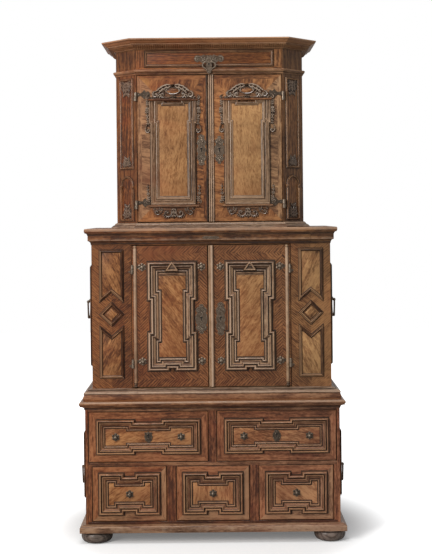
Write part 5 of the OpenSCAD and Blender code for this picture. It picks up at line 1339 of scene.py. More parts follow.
STRAP = [(0.0, 0.0), (0.0, 0.2), (0.12, 0.22), (0.3, 0.16), (0.42, 0.3), (0.5, 0.46), (0.58, 0.5),
         (0.66, 0.36), (0.74, 0.3), (0.82, 0.4), (0.9, 0.34), (0.97, 0.16), (1.0, 0.0)]


def pintles():
    """The carcase's half of each hinge: a knuckle with a pin, on a small leaf."""
    work = Work()
    knuckle = section_mm([(0, -1.5, 0.6), (3.6, -0.8, 0.6), (5.2, 0.4, 0.4), (6, 1.4, 0.8), (6, 19, 0.8),
                          (5.2, 19.8, 0.3), (0, 19.8, 0.0)])
    pin = section_mm([(3, 12, 0.0), (3, 36, 0.0)])
    plate = [(0.0, 4 * MM), (0.0, -4 * MM)] + arc(7 * MM, 0, 4 * MM, -90, 90, 8)
    for s in (-1, 1):
        front = on_front(MID_Y) if s > 0 else flipped(on_front(MID_Y))
        for levels, x, y, face, near, web_depth in (
                (MID_HINGES, MID_AXIS, MID_Y - AXIS_PROUD, front, MID_OPENING + 2 * MM, 8 * MM),
                (UP_HINGES, UP_AXIS, UP_Y - AXIS_PROUD, on_cant(s), 5 * MM - CANT * math.sqrt(0.5), 6 * MM)):
            for z in levels:
                post = Matrix.Translation((s * x, y, z - 20 * MM))
                turned(work, post, knuckle, "iron", 24)
                turned(work, post, pin, "iron", 16)
                web = sorted((s * (x + 1 * MM), s * (x + 9 * MM)))
                board(work, (web[0], y - 1.2 * MM, z - 18 * MM), (web[1], y + web_depth, z - 3 * MM),
                      "iron", 0, 0.5 * MM)
                pierced(work, moved(face, near, z - 10 * MM), plate, [], 1.4 * MM, "iron")
    work.make("hinge_pins_on_carcase", "carcase", ["hinge_pintles"])


def lock_case(work, meet, y, z, bolt):
    """The case of a lock on a door's back, hollow where its bolt slides, with screws at its corners."""
    low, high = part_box(bolt)
    play = Vector((0.5 * MM, 0.5 * MM, 0.5 * MM))
    low, high = low - play, high + play
    x0, x1, back = meet + 3 * MM, meet + 87 * MM, y + 15 * MM
    board(work, (x0, y, z - 45 * MM), (x1, back, low.z), "iron", 0, 1.5 * MM)
    board(work, (x0, y, high.z), (x1, back, z + 45 * MM), "iron", 0, 1.5 * MM)
    board(work, (high.x, y, low.z), (x1, back, high.z), "iron", 0, 0.3 * MM)
    if low.y > y:
        board(work, (x0, y, low.z), (high.x, low.y, high.z), "iron", 0, 0.3 * MM)
    if high.y < back:
        board(work, (x0, high.y, low.z), (high.x, back, high.z), "iron", 0, 0.3 * MM)
    for a in (x0 + 8 * MM, x1 - 8 * MM):
        for b in (z - 37 * MM, z + 37 * MM):
            nail(work, moved(on_back(back), a, b), 2.4 * MM)


def keeper(work, meet, y, z):
    for s in (-1, 1):
        low = z + s * 13 * MM - 5 * MM
        board(work, (meet - 21 * MM, y, low), (meet - 3 * MM, y + 15 * MM, low + 10 * MM), "iron", 0, 1 * MM)


MID_LOCK_Z = Z_MID + 310 * MM
UP_LOCK_Z = Z_UPPER + 332 * MM
MID_HINGES = (Z_MID + 110 * MM, Z_HOLLOW - 110 * MM)
UP_HINGES = (Z_UPPER + 82 * MM, Z_MOULD - 102 * MM)


def middle_iron(side):
    s = -1 if side == "left" else 1
    name = f"middle_door_{side}"
    work = Work()
    knuckles(work, s, MID_AXIS, MID_Y - AXIS_PROUD, MID_HINGES)
    front = on_front(MID_Y)
    rose_x = MID_OPENING - 50 * MM
    for z in MID_HINGES:
        strap_z = z + 10.2 * MM
        outline = [(s * MID_AXIS, strap_z - 8 * MM), (s * rose_x, strap_z - 4 * MM),
                   (s * rose_x, strap_z + 4 * MM), (s * MID_AXIS, strap_z + 8 * MM)]
        if s > 0:
            outline.reverse()
        pierced(work, front, outline, [], 2 * MM, "dark_iron")
        petalled(work, moved(front, s * rose_x, strap_z, 1.5 * MM), 18 * MM, 6, 8 * MM, "iron", 0.8)
        petalled(work, moved(front, s * 43 * MM, strap_z), 18 * MM, 6, 8 * MM, "iron", 0.8)
    if s < 0:
        lock_plate(work, MID_Y, -45 * MM, MID_LOCK_Z, (54 * MM, 134 * MM), LOCK)
        keeper(work, -14.2 * MM, MID_Y + 24 * MM, MID_LOCK_Z)
    else:
        lock_plate(work, MID_Y, 42 * MM, MID_LOCK_Z, (44 * MM, 150 * MM), TALL)
        lock_case(work, -11.8 * MM, MID_Y + 24 * MM, MID_LOCK_Z, "middle_lock_bolt")
    work.make(name + "_hinges_and_lock", name, [name + "_iron"])


# The upper cupboard

def upper_base():
    work = Work()
    section = section_mm([(0, 0, 0.0), (27.2, 0, 0.3), (28, 0.8, 0.6), (28, 3.6, 0.7), (26.8, 5, -0.4),
                          (24, 8, 0.2), (19, 11.5, 0.3), (14, 14, 0.2), (12, 15, -0.8), (11, 16.4, 0.4),
                          (10, 19.5, 1.0), (7, 22, 0.8), (3, 23.6, -0.2), (1.5, 24.6, -0.6), (0, 25, -0.6)],
                         0.0, Z_UP_BASE)
    run_round(work, UP_PLAN, section, "dusty", -0.1)
    work.make("upper_base_moulding_run", "carcase", ["upper_base_moulding"])


def leaf_drop(work, place, long, wide, height):
    """A hanging spray of carved leaves on a dark ground, widest at its head."""
    edge = [(0.5, 0.0), (0.5, 0.5), (0.34, 0.75), (0.12, 1.0)]
    right = [Vector((a * wide, -b * long)) for a, b in edge]
    ground(work, place, [Vector((-q.x, q.y)) for q in right] + list(reversed(right)))
    down = turned_by(place, 180)
    leaf(work, down, [(0, 0), (0.02 * wide, 0.5 * long), (0, 0.98 * long)], 0.42 * wide, height, 4,
         "dark_carving_and_shade")
    for s in (-1, 1):
        spine = [(s * 0.16 * wide, 0), (s * 0.36 * wide, 0.16 * long), (s * 0.38 * wide, 0.45 * long)]
        leaf(work, down, spine, 0.2 * wide, 0.8 * height, 2, "dark_carving_and_shade")


def post_work():
    work = Work()
    half = 0.66 * CANT * math.sqrt(0.5)
    foot, spring = Z_UPPER + 8 * MM, Z_UPPER + 170 * MM
    low, high = spring + half + 32 * MM, Z_MOULD - 16 * MM
    section = scaled(NARROW, 11 * MM, 7 * MM)
    tall = rectangle(-half, half, low, high)
    arch = [(-half, foot), (half, foot)] + arc(0, spring, half, 0, 180, 20)
    inner = half - 12 * MM
    capital = ((8, -4, 5, 10), (6.5, -10, -4.5, 8.5), (4.6, (foot - spring) / MM + 10, -10.5, 9))
    for s in (-1, 1):
        place = moved(on_cant(s), -6 * MM, 0)
        dim = -0.7 if s < 0 else -0.2
        length(work, place, tall, section, "moulding", True)
        veneer(work, place, inset(tall, 10.5 * MM), 1.2 * MM, "walnut", 90, -0.4 * MM, tone=dim)
        bent_length(work, place, arch, section, "moulding")
        veneer(work, place, inset(arch, 10.5 * MM), 1.2 * MM, "walnut", 90, -0.4 * MM, tone=dim)
        leaf_drop(work, moved(place, 0, high - 13 * MM, 1 * MM), 64 * MM, 2 * inner, 6 * MM)
        leaf_drop(work, turned_by(moved(place, 0, low + 13 * MM, 1 * MM), 180), 40 * MM, 1.7 * inner, 5 * MM)
        leaf_drop(work, turned_by(moved(place, 0, foot + 13 * MM, 1 * MM), 180), 62 * MM, 1.8 * inner, 6 * MM)
        for e in (-1, 1):
            impost = moved(place, e * (half - 6 * MM), spring - 4 * MM)
            for wide, low_z, high_z, proud in capital:
                block = rectangle(-wide * MM, wide * MM, low_z * MM, high_z * MM)
                veneer(work, impost, block, proud * MM, "moulding", 90, 0.0, 2.2 * MM, 0.7)
    work.make("post_frames_and_carving", "carcase", ["post_mouldings"])


def leaf(work, place, spine, width, height, lobes, finish="carving"):
    """A carved acanthus leaf: a midrib along a line, with lobes that spring from both its sides."""
    line = curve(spine, 5)
    frond(work, place, spine, [0.12 * width, 0.26 * width, 0.2 * width, 0.04 * width], height, finish, 0.1)
    for k in range(lobes):
        t = (k + 0.4) / (lobes + 0.5)
        i = min(len(line) - 2, max(1, round(t * (len(line) - 1))))
        root = line[i]
        ahead = (line[i + 1] - line[i - 1]).normalized()
        reach = width * (0.65 + 0.35 * math.sin(math.pi * (0.2 + 0.8 * t)))
        for hand in (-1, 1):
            side = Vector((-ahead.y, ahead.x)) * hand
            middle = root + (0.25 * ahead + 0.55 * side) * reach
            tip = root + (0.75 * ahead + 0.85 * side) * reach
            frond(work, place, [root, middle, tip], [0.12 * width, 0.3 * width, 0.26 * width, 0.06 * width],
                  0.8 * height, finish, 0.0, 4)


def ground(work, place, outline, finish="dark_carving_and_shade"):
    """The sunk ground that carving stands on."""
    veneer(work, place, outline, 2 * MM, finish, 0, 0.0, 0.6 * MM, -0.6, -0.4)


def festoon(work, place, spine, width, height, count):
    """A thick string of rounded leaves that lie over each other along a line."""
    line = curve(spine, 8)
    last = len(line) - 1
    for k in range(count):
        a, b = round(last * k / count), min(last, round(last * (k + 1.5) / count))
        ahead = (line[b] - line[a]).normalized()
        side = Vector((-ahead.y, ahead.x)) * width
        for hand in (-1, 1):
            root = line[a] + side * 0.1 * hand
            tip = line[b] + side * 0.5 * hand
            frond(work, place, [root, (root + tip) / 2 + side * 0.16 * hand, tip],
                  [0.12 * width, 0.28 * width, 0.3 * width, 0.14 * width], height, "carving", 0.0, 4)


def crest(work, place):
    """Carved crest: an oval cartouche under an arched garland that ends in scrolls."""
    right = line_mm((93, 0), (92, 10), (86, 26), (70, 44), (50, 57), (26, 65), (0, 68))
    ground(work, place, right + mirrored(right[:-1]), "moulding")
    for q in (place, flipped(place)):
        festoon(work, q, line_mm((8, 60), (26, 59), (46, 51), (60, 41), (70, 29)), 0.015, 0.014, 4)
        scroll(work, q, line_mm((60, 40), (72, 38), (84, 32)), (0.0795, 0.02), 0.0135, 60, 1.15, -1,
               0.0062, 0.013, "carving")
        scroll(work, q, line_mm((10, 10), (26, 6), (40, 8)), (0.046, 0.018), 0.0105, -100, 1.1, 1,
               0.0048, 0.010, "carving")
        scroll(work, q, line_mm((36, 22), (41, 27), (44, 33)), (0.0395, 0.04), 0.006, -20, 0.9, 1,
               0.004, 0.013, "carving")
        festoon(work, q, line_mm((52, 22), (62, 14), (66, 4)), 0.010, 0.010, 2)
        leaf(work, q, line_mm((84, 12), (94, 8), (104, 0)), 0.009, 0.009, 2)
    # The fan at the crest's top is cut in the dark finish, painting the shade there.
    for angle in (-90, -60, -30, 0, 30, 60, 90):
        fan = turned_by(moved(place, 0.0, 0.056), angle)
        frond(work, fan, line_mm((0, 1), (0, 6), (0, 11)), [0.0018, 0.004, 0.0042, 0.0016], 0.0155,
              "dark_carving_and_shade")
    leaf(work, turned_by(moved(place, 0.0, 0.017), 180), line_mm((0, 0), (0, 12), (0, 27)), 0.014, 0.017, 2,
         "dark_carving_and_shade")
    middle = 0.036
    around = [math.tau * k / 32 for k in range(32)]
    oval = [(0.03 * math.cos(a), middle + 0.0145 * math.sin(a)) for a in around]
    frame_section = section_mm([(-3, 0, -0.8), (-3, 7, -0.2), (-1, 10.5, 0.35), (2, 9, 0.2), (3, 5, -0.8),
                                (3, 0, -0.8)])
    bent_length(work, place, oval, frame_section, "carving")
    for hand in (-1, 1):
        cap = [(hand * 0.026, 0.046), (hand * 0.0305, 0.037), (hand * 0.026, 0.027)]
        frond(work, place, cap, [0.0015, 0.0042, 0.0015], 0.0125, "carving", 0.0, 4)
    shares = (0.98, 0.9, 0.75, 0.5, 0.25)
    around = [math.tau * k / 28 for k in range(28)]
    points = []
    for share in shares:
        rise = 0.004 + 0.006 * math.sin(math.acos(share))
        points += [place @ Vector((0.0275 * share * math.cos(a), middle + 0.0122 * share * math.sin(a), rise))
                   for a in around]
    work.shell(points, ring_faces(len(shares), len(around)), "walnut", None, [0.2] * len(points), 0.0)
    ledge = section_mm([(0, 0, 0.0), (0, 13.5, -0.4), (1.5, 16.5, 0.2), (4.5, 17.5, 0.6), (7, 15.5, 0.0),
                        (8.5, 12, -0.8), (10, 11, -0.8), (10, 0, -0.8)])
    length(work, place, line_mm((-115, -10), (115, -10)), ledge, "walnut", tone=-0.7)


def apron(work, place):
    """Carved apron under a panel: a pair of big scrolls with ribbed backs, and leaves to the corners."""
    right = line_mm((0, -50), (14, -44), (28, -49), (46, -44), (54, -30), (66, -32), (84, -32),
                    (94, -18), (97, 0))
    ground(work, place, mirrored(right[1:]) + right, "moulding")
    eye = (0.029, -0.0245)
    for q in (place, flipped(place)):
        scroll(work, q, line_mm((12, -3), (9, -12)), eye, 0.0195, 160, 1.15, 1, 0.005, 0.011, "low_carving")
        for k in range(7):
            a = math.radians(188 + 24 * k)
            rib = [(eye[0] + r * math.cos(a), eye[1] + r * math.sin(a)) for r in (0.0195, 0.0225, 0.0255)]
            frond(work, q, rib, [0.003, 0.0034, 0.0012], 0.009, "low_carving", 0.0, 3)
        scroll(work, q, line_mm((50, -8), (56, -20), (66, -28)), (0.0765, -0.0205), 0.0105, -115, 1.1, 1,
               0.0042, 0.010, "low_carving")
        leaf(work, q, line_mm((50, -14), (60, -8), (72, -7)), 0.010, 0.008, 2, "low_carving")
        leaf(work, q, line_mm((84, -10), (90, -5), (98, -3)), 0.008, 0.007, 1, "low_carving")
    leaf(work, turned_by(place, 180), line_mm((0, 3), (0, 24), (0, 52)), 0.0125, 0.011, 3)


def garland(work, place, hand):
    """A hanging string of leaves beside a panel, from a small scroll down to a big one."""
    down = turned_by(place, 180)
    down = down if hand > 0 else flipped(down)
    scroll(work, down, line_mm((8, -14), (0, -12)), (0.001, -0.002), 0.008, -110, 1.0, -1, 0.0034, 0.010,
           "carving")
    leaf(work, down, line_mm((0, 8), (3, 28), (-1, 52)), 0.0105, 0.011, 4)
    leaf(work, down, line_mm((0, 46), (-3, 64), (1, 86)), 0.0095, 0.010, 4)
    button = section_mm([(5, 0, -0.6), (4.5, 6, 0.5), (2, 9, 1.0), (0, 9.5, 1.0)])
    turned(work, moved(down, 0.0, 0.088), button, "carving", 14)
    leaf(work, down, line_mm((0, 92), (3, 108), (0, 126)), 0.0085, 0.010, 3)
    scroll(work, down, line_mm((1, 118), (-6, 130), (-9, 142)), (0.0015, 0.149), 0.0105, 175, 1.15, -1,
           0.0042, 0.011, "carving")


def foot_spray(work, place, hand):
    """A spray of leaves that stands on the sill beside a panel."""
    up = place if hand > 0 else flipped(place)
    scroll(work, up, line_mm((-8, 4), (-2, 8)), (0.0035, 0.016), 0.0075, -60, 1.0, 1, 0.0032, 0.009,
           "carving")
    leaf(work, up, line_mm((0, 14), (-3, 34), (1, 56)), 0.0095, 0.010, 4)
    leaf(work, up, line_mm((0, 52), (2, 72), (0, 98)), 0.0075, 0.008, 3)


def upper_door(side):
    s = -1 if side == "left" else 1
    name = f"upper_door_{side}"
    work = Work()
    z0, z1 = Z_UPPER + 2 * MM, Z_MOULD - 2 * MM
    inner = (-7 + 1.2 * s) * MM
    outer = s * (UP_OPENING - 1 * MM)
    xs = sorted((inner, outer))
    front = on_front(UP_Y)
    bed, edge = leaf_board(work, xs[0], xs[1], z0, z1, UP_Y, 22 * MM)
    outer_side = {3: ("grey_stile", 0.0)} if s < 0 else {1: ("grey_stile", 0.3)}
    banding(work, bed, edge, [18 * MM, 92 * MM], [0, 78], LIP, "stile", -0.05, 0.3, outer_side)
    # A dark strip beside the meeting edge paints the shadow of the rebate.
    if s < 0:
        seam = rectangle(inner - 8 * MM, inner - 1 * MM, z0 + 3 * MM, z1 - 3 * MM)
        veneer(work, front, seam, 0.4 * MM, "dark_carving_and_shade", 90, -1 * MM, tone=-0.6)
    base = z0 + 79 * MM
    ledge, shoulder, notch = 478 * MM, 372 * MM, 38 * MM
    hw, strip, bead_w, ear = 104 * MM, 24 * MM, 17 * MM, 7 * MM
    face = moved(front, s * 170 * MM + 2 * MM, base)
    wide = [(hw, 0), (hw, shoulder), (hw + ear, shoulder), (hw + ear, ledge + 3 * MM)]
    frame_line = [(-x, z) for x, z in reversed(wide)] + wide
    length(work, face, frame_line, scaled(STRIP, strip, 11 * MM), "faded_moulding",
           tone=0.1 + 0.25 * s, painted_light=0.6)
    x, top = hw - strip, ledge + 2 * MM
    half = [(x, strip), (x, shoulder), (x + ear, shoulder), (x + ear, top), (notch, top),
            (notch, top - 9 * MM)]
    inside = half + [(-a, b) for a, b in reversed(half)]
    length(work, face, inside, scaled(BEAD, bead_w, 10 * MM), "faded_moulding", True,
           tone=0.2 + 0.2 * s, painted_light=0.6)
    veneer(work, face, inset(inside, bead_w - 0.5 * MM), 4 * MM, "panel", -84 * s, 0.0, 1.6 * MM,
           tone=0.3 + 0.1 * s)
    sill = section_mm([(0, 0, 0.0), (0, 10, 0.3), (2, 15, 1.0), (5, 17, 0.8), (6.5, 13, -0.6), (9.8, 12, 0.2),
                       (9.8, 0, 0.0)])
    length(work, face, [(-hw - 12 * MM, -10 * MM), (hw + 12 * MM, -10 * MM)], sill, "edge")
    if s > 0:
        bead = section_mm([(0, 0, -0.8), (0, 3.6, -0.4), (1.2, 5.6, 0.4), (3, 7.4, 1.0), (5, 7.2, 0.8),
                           (6.4, 4.6, -0.9), (8.4, 4.4, -0.9), (9.8, 7.4, 0.4), (12, 8.8, 1.0),
                           (14.2, 8.2, 0.8), (15.8, 4.8, -0.9), (17.6, 4.6, -0.9), (19, 7.2, 0.4),
                           (21, 8.2, 1.0), (23.4, 7, 0.6), (25, 3.8, -0.5), (26, 3.2, -0.8), (26, 0, -0.8)])
        length(work, front, [(inner, z1 - 1 * MM), (inner, z0 + 1 * MM)], bead, "rubbed_moulding", tone=0.5)
    work.make(name + "_leaf", name, [name])
    carved = Work()
    crest(carved, moved(face, 0, ledge + 10 * MM))
    apron(carved, moved(face, 0, -12 * MM))
    for hand in (-1, 1):
        x = hand * (hw + 13 * MM)
        garland(carved, moved(face, x, ledge + 14 * MM), hand)
        foot_spray(carved, moved(face, x, 0), hand)
    carved.make(name + "_carving_cut", name, [name + "_carving"])


def upper_iron(side):
    s = -1 if side == "left" else 1
    name = f"upper_door_{side}"
    work = Work()
    axis_y = UP_Y - AXIS_PROUD
    knuckles(work, s, UP_AXIS, axis_y, UP_HINGES)
    front = on_front(UP_Y)
    outline = shaped(STRAP, (40 * MM, 62 * MM), 90 * s)
    web = sorted((s * UP_AXIS, s * (UP_OPENING - 4 * MM)))
    for z in UP_HINGES:
        strap_z = z + 10.2 * MM
        board(work, (web[0], axis_y, z + 0.2 * MM), (web[1], UP_Y - 0.5 * MM, z + 20 * MM), "iron", 0,
              0.5 * MM)
        pierced(work, moved(front, s * (UP_OPENING - 1.5 * MM), strap_z), outline, [], 2 * MM, "dark_iron")
        for reach in (10, 34, 50):
            nail(work, moved(front, s * (UP_OPENING - reach * MM), strap_z, 1.8 * MM), 1.6 * MM)
    if s < 0:
        lock_plate(work, UP_Y, -38 * MM, UP_LOCK_Z, (42 * MM, 142 * MM), TALL)
        keeper(work, -8.2 * MM, UP_Y + 22 * MM, UP_LOCK_Z)
    else:
        lock_plate(work, UP_Y, 44 * MM, UP_LOCK_Z, (45 * MM, 130 * MM), LOCK)
        lock_case(work, -5.8 * MM, UP_Y + 22 * MM, UP_LOCK_Z, "upper_lock_bolt")
    work.make(name + "_hinges_and_lock", name, [name + "_iron"])


def upper_frieze():
    work = Work()
    y0, y1 = UP_Y, UP_Y + FACE
    half, tray = UP_OPENING, UP_OPENING - 36 * MM
    z_tray, z_top = Z_UP_FRIEZE + 8 * MM, Z_CORNICE - 2 * MM
    board(work, (-half, y0, Z_MOULD), (half, y1, z_tray), "walnut", 0)
    board(work, (-half, y0, z_top), (half, y1, Z_CORNICE), "walnut", 0)
    for s in (-1, 1):
        xs = sorted((s * tray, s * half))
        board(work, (xs[0], y0, z_tray), (xs[1], y1, z_top), "walnut", 2)
    section = section_mm([(0, 0, 0.0), (3, 0, 0.3), (3.6, 1, 0.6), (4, 5, -0.6), (6, 8, -0.8), (8.5, 10, 0.0),
                          (10.5, 12, 0.5), (12.6, 14.6, 0.6), (13, 18, 0.5), (12, 20.6, 0.4), (9, 22.2, 0.0),
                          (5, 23.4, -0.5), (0, 24, -0.8)], 0.0, Z_MOULD)
    run_round(work, UP_PLAN, section, "edge", 0.5)
    work.make("upper_frieze_and_moulding", "carcase", ["upper_frieze"])


def winged_plate():
    """The key plate of the cornice drawer: two wings over a drop with two openings."""
    plate = Work()
    key_z = 2153 * MM
    place = moved(on_front(UP_Y), 0.0, key_z, 2.1 * MM)
    wing_edge = line_mm((0, 35), (7, 42), (15, 37), (22, 43), (31, 38), (38, 33), (46, 40), (57, 40),
                        (66, 32), (68, 22), (62, 12), (52, 9), (45, 14), (37, 9), (29, 6), (20, 7), (8, 6))
    right = curve(wing_edge, 3)
    pierced(plate, place, mirrored(right[1:-1]) + right, [], 2 * MM, "iron")
    for half in (flipped(place), place):
        wing = moved(half, 0, 0, 1.5 * MM)
        scroll(plate, wing, line_mm((20, 30), (32, 36), (44, 34)), (0.0555, 0.0245), 0.0105, 110, 1.1, -1,
               0.0036, 0.0042, "iron")
        leaf(plate, wing, line_mm((8, 12), (22, 22), (34, 20)), 0.011, 0.004, 3, "iron")
        leaf(plate, wing, line_mm((4, 22), (6, 30), (12, 36)), 0.006, 0.004, 2, "iron")
        nail(plate, moved(half, 63 * MM, 18 * MM, 1.8 * MM))
    drop_y = UP_Y - 14 * MM
    drop_place = moved(on_front(drop_y), 0, key_z)
    drop_edge = line_mm((0, 10), (-12, 10), (-22, 8), (-31, 2), (-33, -8), (-28, -18), (-17, -24),
                        (-12, -32), (-9, -40), (0, -46))
    left = curve(drop_edge, 3)
    outline = left + mirrored(left[1:-1])
    opening = line_mm((-11, 2), (-20, 2), (-25, -6), (-21, -14), (-13, -17), (-15, -8), (-11, 2))
    gap = curve(opening, 3)[:-1]
    key_plate(plate, drop_place, outline, (0.0, -1 * MM, 5 * MM), 2 * MM, [gap, mirrored(gap)])
    rib = line_mm((20, 6), (29, -2), (28, -12), (18, -21), (8, -30))
    for half in (flipped(drop_place), drop_place):
        frond(plate, moved(half, 0, 0, 1.4 * MM), rib, [0.002, 0.0026, 0.0026, 0.002], 0.0022, "iron", 0.0, 4)
    neck_z = key_z + 8 * MM
    board(plate, (-0.02, drop_y - 2 * MM, neck_z - 1.5 * MM), (0.02, UP_Y - 2.1 * MM, neck_z + 1.5 * MM),
          "iron", 0, 0.6 * MM)
    nail(plate, moved(drop_place, 0, -36 * MM, 1.8 * MM), 2 * MM)
    plate.make("cornice_drawer_winged_keyplate", "cornice_drawer", ["cornice_drawer_escutcheon"])


def cornice_drawer():
    work = Work()
    low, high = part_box("cornice_drawer_front")
    board(work, (low.x, UP_Y, low.z), (high.x, UP_Y + 22 * MM, high.z), "walnut", 0)
    outline = rectangle(low.x + 2 * MM, high.x - 2 * MM, low.z + 2 * MM, high.z - 2 * MM)
    front = on_front(UP_Y)
    length(work, front, outline, scaled(NARROW, 12 * MM, 7 * MM), "moulding", True)
    veneer(work, front, inset(outline, 11.5 * MM), 2 * MM, "frieze", 0, 0.0, 0.8 * MM, tone=-0.25)
    work.make("cornice_drawer_front_veneered", "cornice_drawer", ["cornice_drawer_front"])
    winged_plate()


def ripple_tree():
    """A tree that lifts a strip in waves along its length: the ripples of the cornice."""
    tree = bpy.data.node_groups.new("ripples", "GeometryNodeTree")
    face = tree.interface
    face.new_socket("Strip", in_out="INPUT", socket_type="NodeSocketGeometry")
    pitch = face.new_socket("Pitch", in_out="INPUT", socket_type="NodeSocketFloat")
    depth = face.new_socket("Depth", in_out="INPUT", socket_type="NodeSocketFloat")
    finish = face.new_socket("Finish", in_out="INPUT", socket_type="NodeSocketMaterial")
    face.new_socket("Strip", in_out="OUTPUT", socket_type="NodeSocketGeometry")
    start = tree.nodes.new("NodeGroupInput")
    end = tree.nodes.new("NodeGroupOutput")
    run = node(tree, "GeometryNodeInputNamedAttribute", {"Name": "grain"}, data_type="FLOAT_VECTOR")
    share = node(tree, "GeometryNodeInputNamedAttribute", {"Name": "ripple"}, data_type="FLOAT")
    along = node(tree, "ShaderNodeSeparateXYZ", {0: run.outputs[0]}).outputs[0]
    turns = maths(tree, "DIVIDE", along, start.outputs["Pitch"])
    wave = maths(tree, "SINE", maths(tree, "MULTIPLY", turns, math.tau))
    lift = maths(tree, "MULTIPLY", wave, start.outputs["Depth"])
    held = maths(tree, "MULTIPLY", lift, share.outputs[0])
    normal = node(tree, "GeometryNodeInputNormal").outputs[0]
    push = node(tree, "ShaderNodeVectorMath", {0: normal, "Scale": held}, operation="SCALE").outputs[0]
    lifted = node(tree, "GeometryNodeSetPosition", {"Geometry": start.outputs["Strip"], "Offset": push})
    whole = node(tree, "GeometryNodeRealizeInstances", {0: lifted.outputs[0]})
    dressed = node(tree, "GeometryNodeSetMaterial", {"Geometry": whole.outputs[0],
                                                     "Material": start.outputs["Finish"]})
    tree.links.new(dressed.outputs[0], end.inputs[0])
    return tree, pitch.identifier, depth.identifier, finish.identifier


def cornice():
    work = Work()
    section = [(0.0, Z_ROOF, 0.0)]
    section += section_mm([(0, 20.5, 0.0), (37, 20.5, 0.4), (38.5, 21, 0.8), (39.4, 22.6, 1.0),
                           (38.6, 24.4, 0.4), (40, 25, -0.5)], 0.0, Z_CORNICE)
    waved = [(k / 8, math.sin(math.tau * k / 8)) for k in range(9)]
    section += section_mm([(41 + 20 * t, 25.4 + 12 * (t - 0.13 * dip), 0.1 + 0.3 * t) for t, dip in waved],
                          0.0, Z_CORNICE)
    section += section_mm([(62, 38, -0.4), (63, 38.6, 0.6), (64, 39.4, 0.9)], 0.0, Z_CORNICE)
    section += section_mm([(64, -0.8, 0.8), (63.2, 0, 0.5)], 0.0, Z_ROOF)
    run_round(work, UP_PLAN, section, "soft_walnut", 0.95)
    veneer(work, Matrix.Translation((0, 0, Z_CORNICE)), UP_PLAN, 18 * MM, "pine", 0, 0.2 * MM)
    work.make("cornice_run", "carcase", ["cornice"])


def ripple_strip():
    """The bed moulding under the cornice, cut in fine waves by the tree above."""
    section = [(0.2, 0.4, 0), (4, 0.4, 0), (6, 3, 0), (8.5, 5.2, 1), (12, 7.4, 1), (17, 9.6, 1), (23, 12, 1),
               (29, 14.6, 1), (33, 17, 1), (35.4, 19.4, 0), (35.4, 20.2, 0), (0.2, 20.2, 0)]
    path = [Vector(p) for p in UP_PLAN]
    steps = mitres(path, False, -1)
    k = len(section)
    points, faces, grain, held, wear_and_shading = [], [], [], [], []
    for i in range(len(path) - 1):
        a, b = path[i], path[i + 1]
        count = max(8, int((b - a).length / (1.6 * MM)))
        start = len(points)
        for j in range(count + 1):
            corner = a.lerp(b, j / count)
            step = steps[i].lerp(steps[i + 1], j / count)
            for q, h, wave in section:
                p = corner + step * q * MM
                points.append((p.x, p.y, Z_CORNICE + h * MM))
                grain.append(((p - a).dot((b - a).normalized()), q * MM, h * MM))
                held.append(float(wave) * (0 < j < count))
                wear_and_shading.append(0.3 if wave else -0.5)
        faces += [tuple(start + m for m in face) for face in ring_faces(count + 1, k)]
    marks = {"grain": grain, "ripple": held, "wear_and_shading": wear_and_shading, "tone": [0.5] * len(points)}
    strip = placed("ripple strip", shell_mesh("ripple strip", points, faces, marks))
    tree, pitch, depth, finish = ripple_tree()
    cut = strip.modifiers.new("ripples", "NODES")
    cut.node_group = tree
    cut[pitch] = 10 * MM
    cut[depth] = 1.5 * MM
    cut[finish] = finishes["edge"]
    bpy.context.view_layer.update()
    made = bpy.data.meshes.new_from_object(strip.evaluated_get(bpy.context.evaluated_depsgraph_get()))
    bpy.data.objects.remove(strip)
    smoothed(made, 60)
    piece = placed("cornice_ripple_moulding", made)
    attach(piece, "carcase")


def dress(material, *names):
    """Gives a plain board of the frame its finish."""
    for name in names:
        mesh = nodes[name].data
        mesh.materials.clear()
        mesh.materials.append(material)


def plain_boards():
    dress(board_finishes["walnut_upright"], "chest_sides", "middle_sides", "upper_sides")
    dress(board_finishes["walnut_shaded"], "upper_posts")
    dress(board_finishes["pine_across"], "chest_boards", "middle_boards", "upper_boards")
    dress(board_finishes["pine_upright"], "back_boards")
    dress(board_finishes["pine_deep"], "drawer_upper_left_box", "drawer_upper_right_box",
          "drawer_lower_left_box", "drawer_lower_middle_box", "drawer_lower_right_box", "cornice_drawer_box")
    dress(finishes["iron"], "middle_lock_bolt", "upper_lock_bolt")


def drawers():
    """The five chest drawers, with the grain angle and tones of each front."""
    # The border strips at the foot and on the right side take tones of their own: painted light, paler there;
    # the upper drawers' head strip gets painted shade.
    for side, figure, tone, border_tone, sill, edge in (("left", 12, 0.3, 0.0, 0.25, 0.0),
                                                        ("right", -12, -0.3, -0.1, 0.0, 0.4)):
        odd = {0: ("soft_walnut", sill), 1: ("soft_walnut", edge), 2: ("soft_walnut", -0.2)}
        drawer_front(f"drawer_upper_{side}_front", 37 * MM, 40 * MM, 61 * MM, 12 * MM, figure, tone,
                     border_tone, odd)
    for side, figure, tone, border_tone, sill, edge in (("left", 35, 0.35, 0.0, 0.7, 0.5),
                                                        ("middle", 90, 0.4, 0.15, 0.8, 0.6),
                                                        ("right", -35, 0.3, 0.15, 0.2, 0.0)):
        odd = {0: ("grey_stile", sill), 1: ("grey_stile", edge)}
        drawer_front(f"drawer_lower_{side}_front", 31 * MM, 44 * MM, 26 * MM, 16 * MM, figure, tone,
                     border_tone, odd)
        lower_drawer_iron(side)
    drawer_iron("left", SHIELD)
    drawer_iron("right", OVAL)


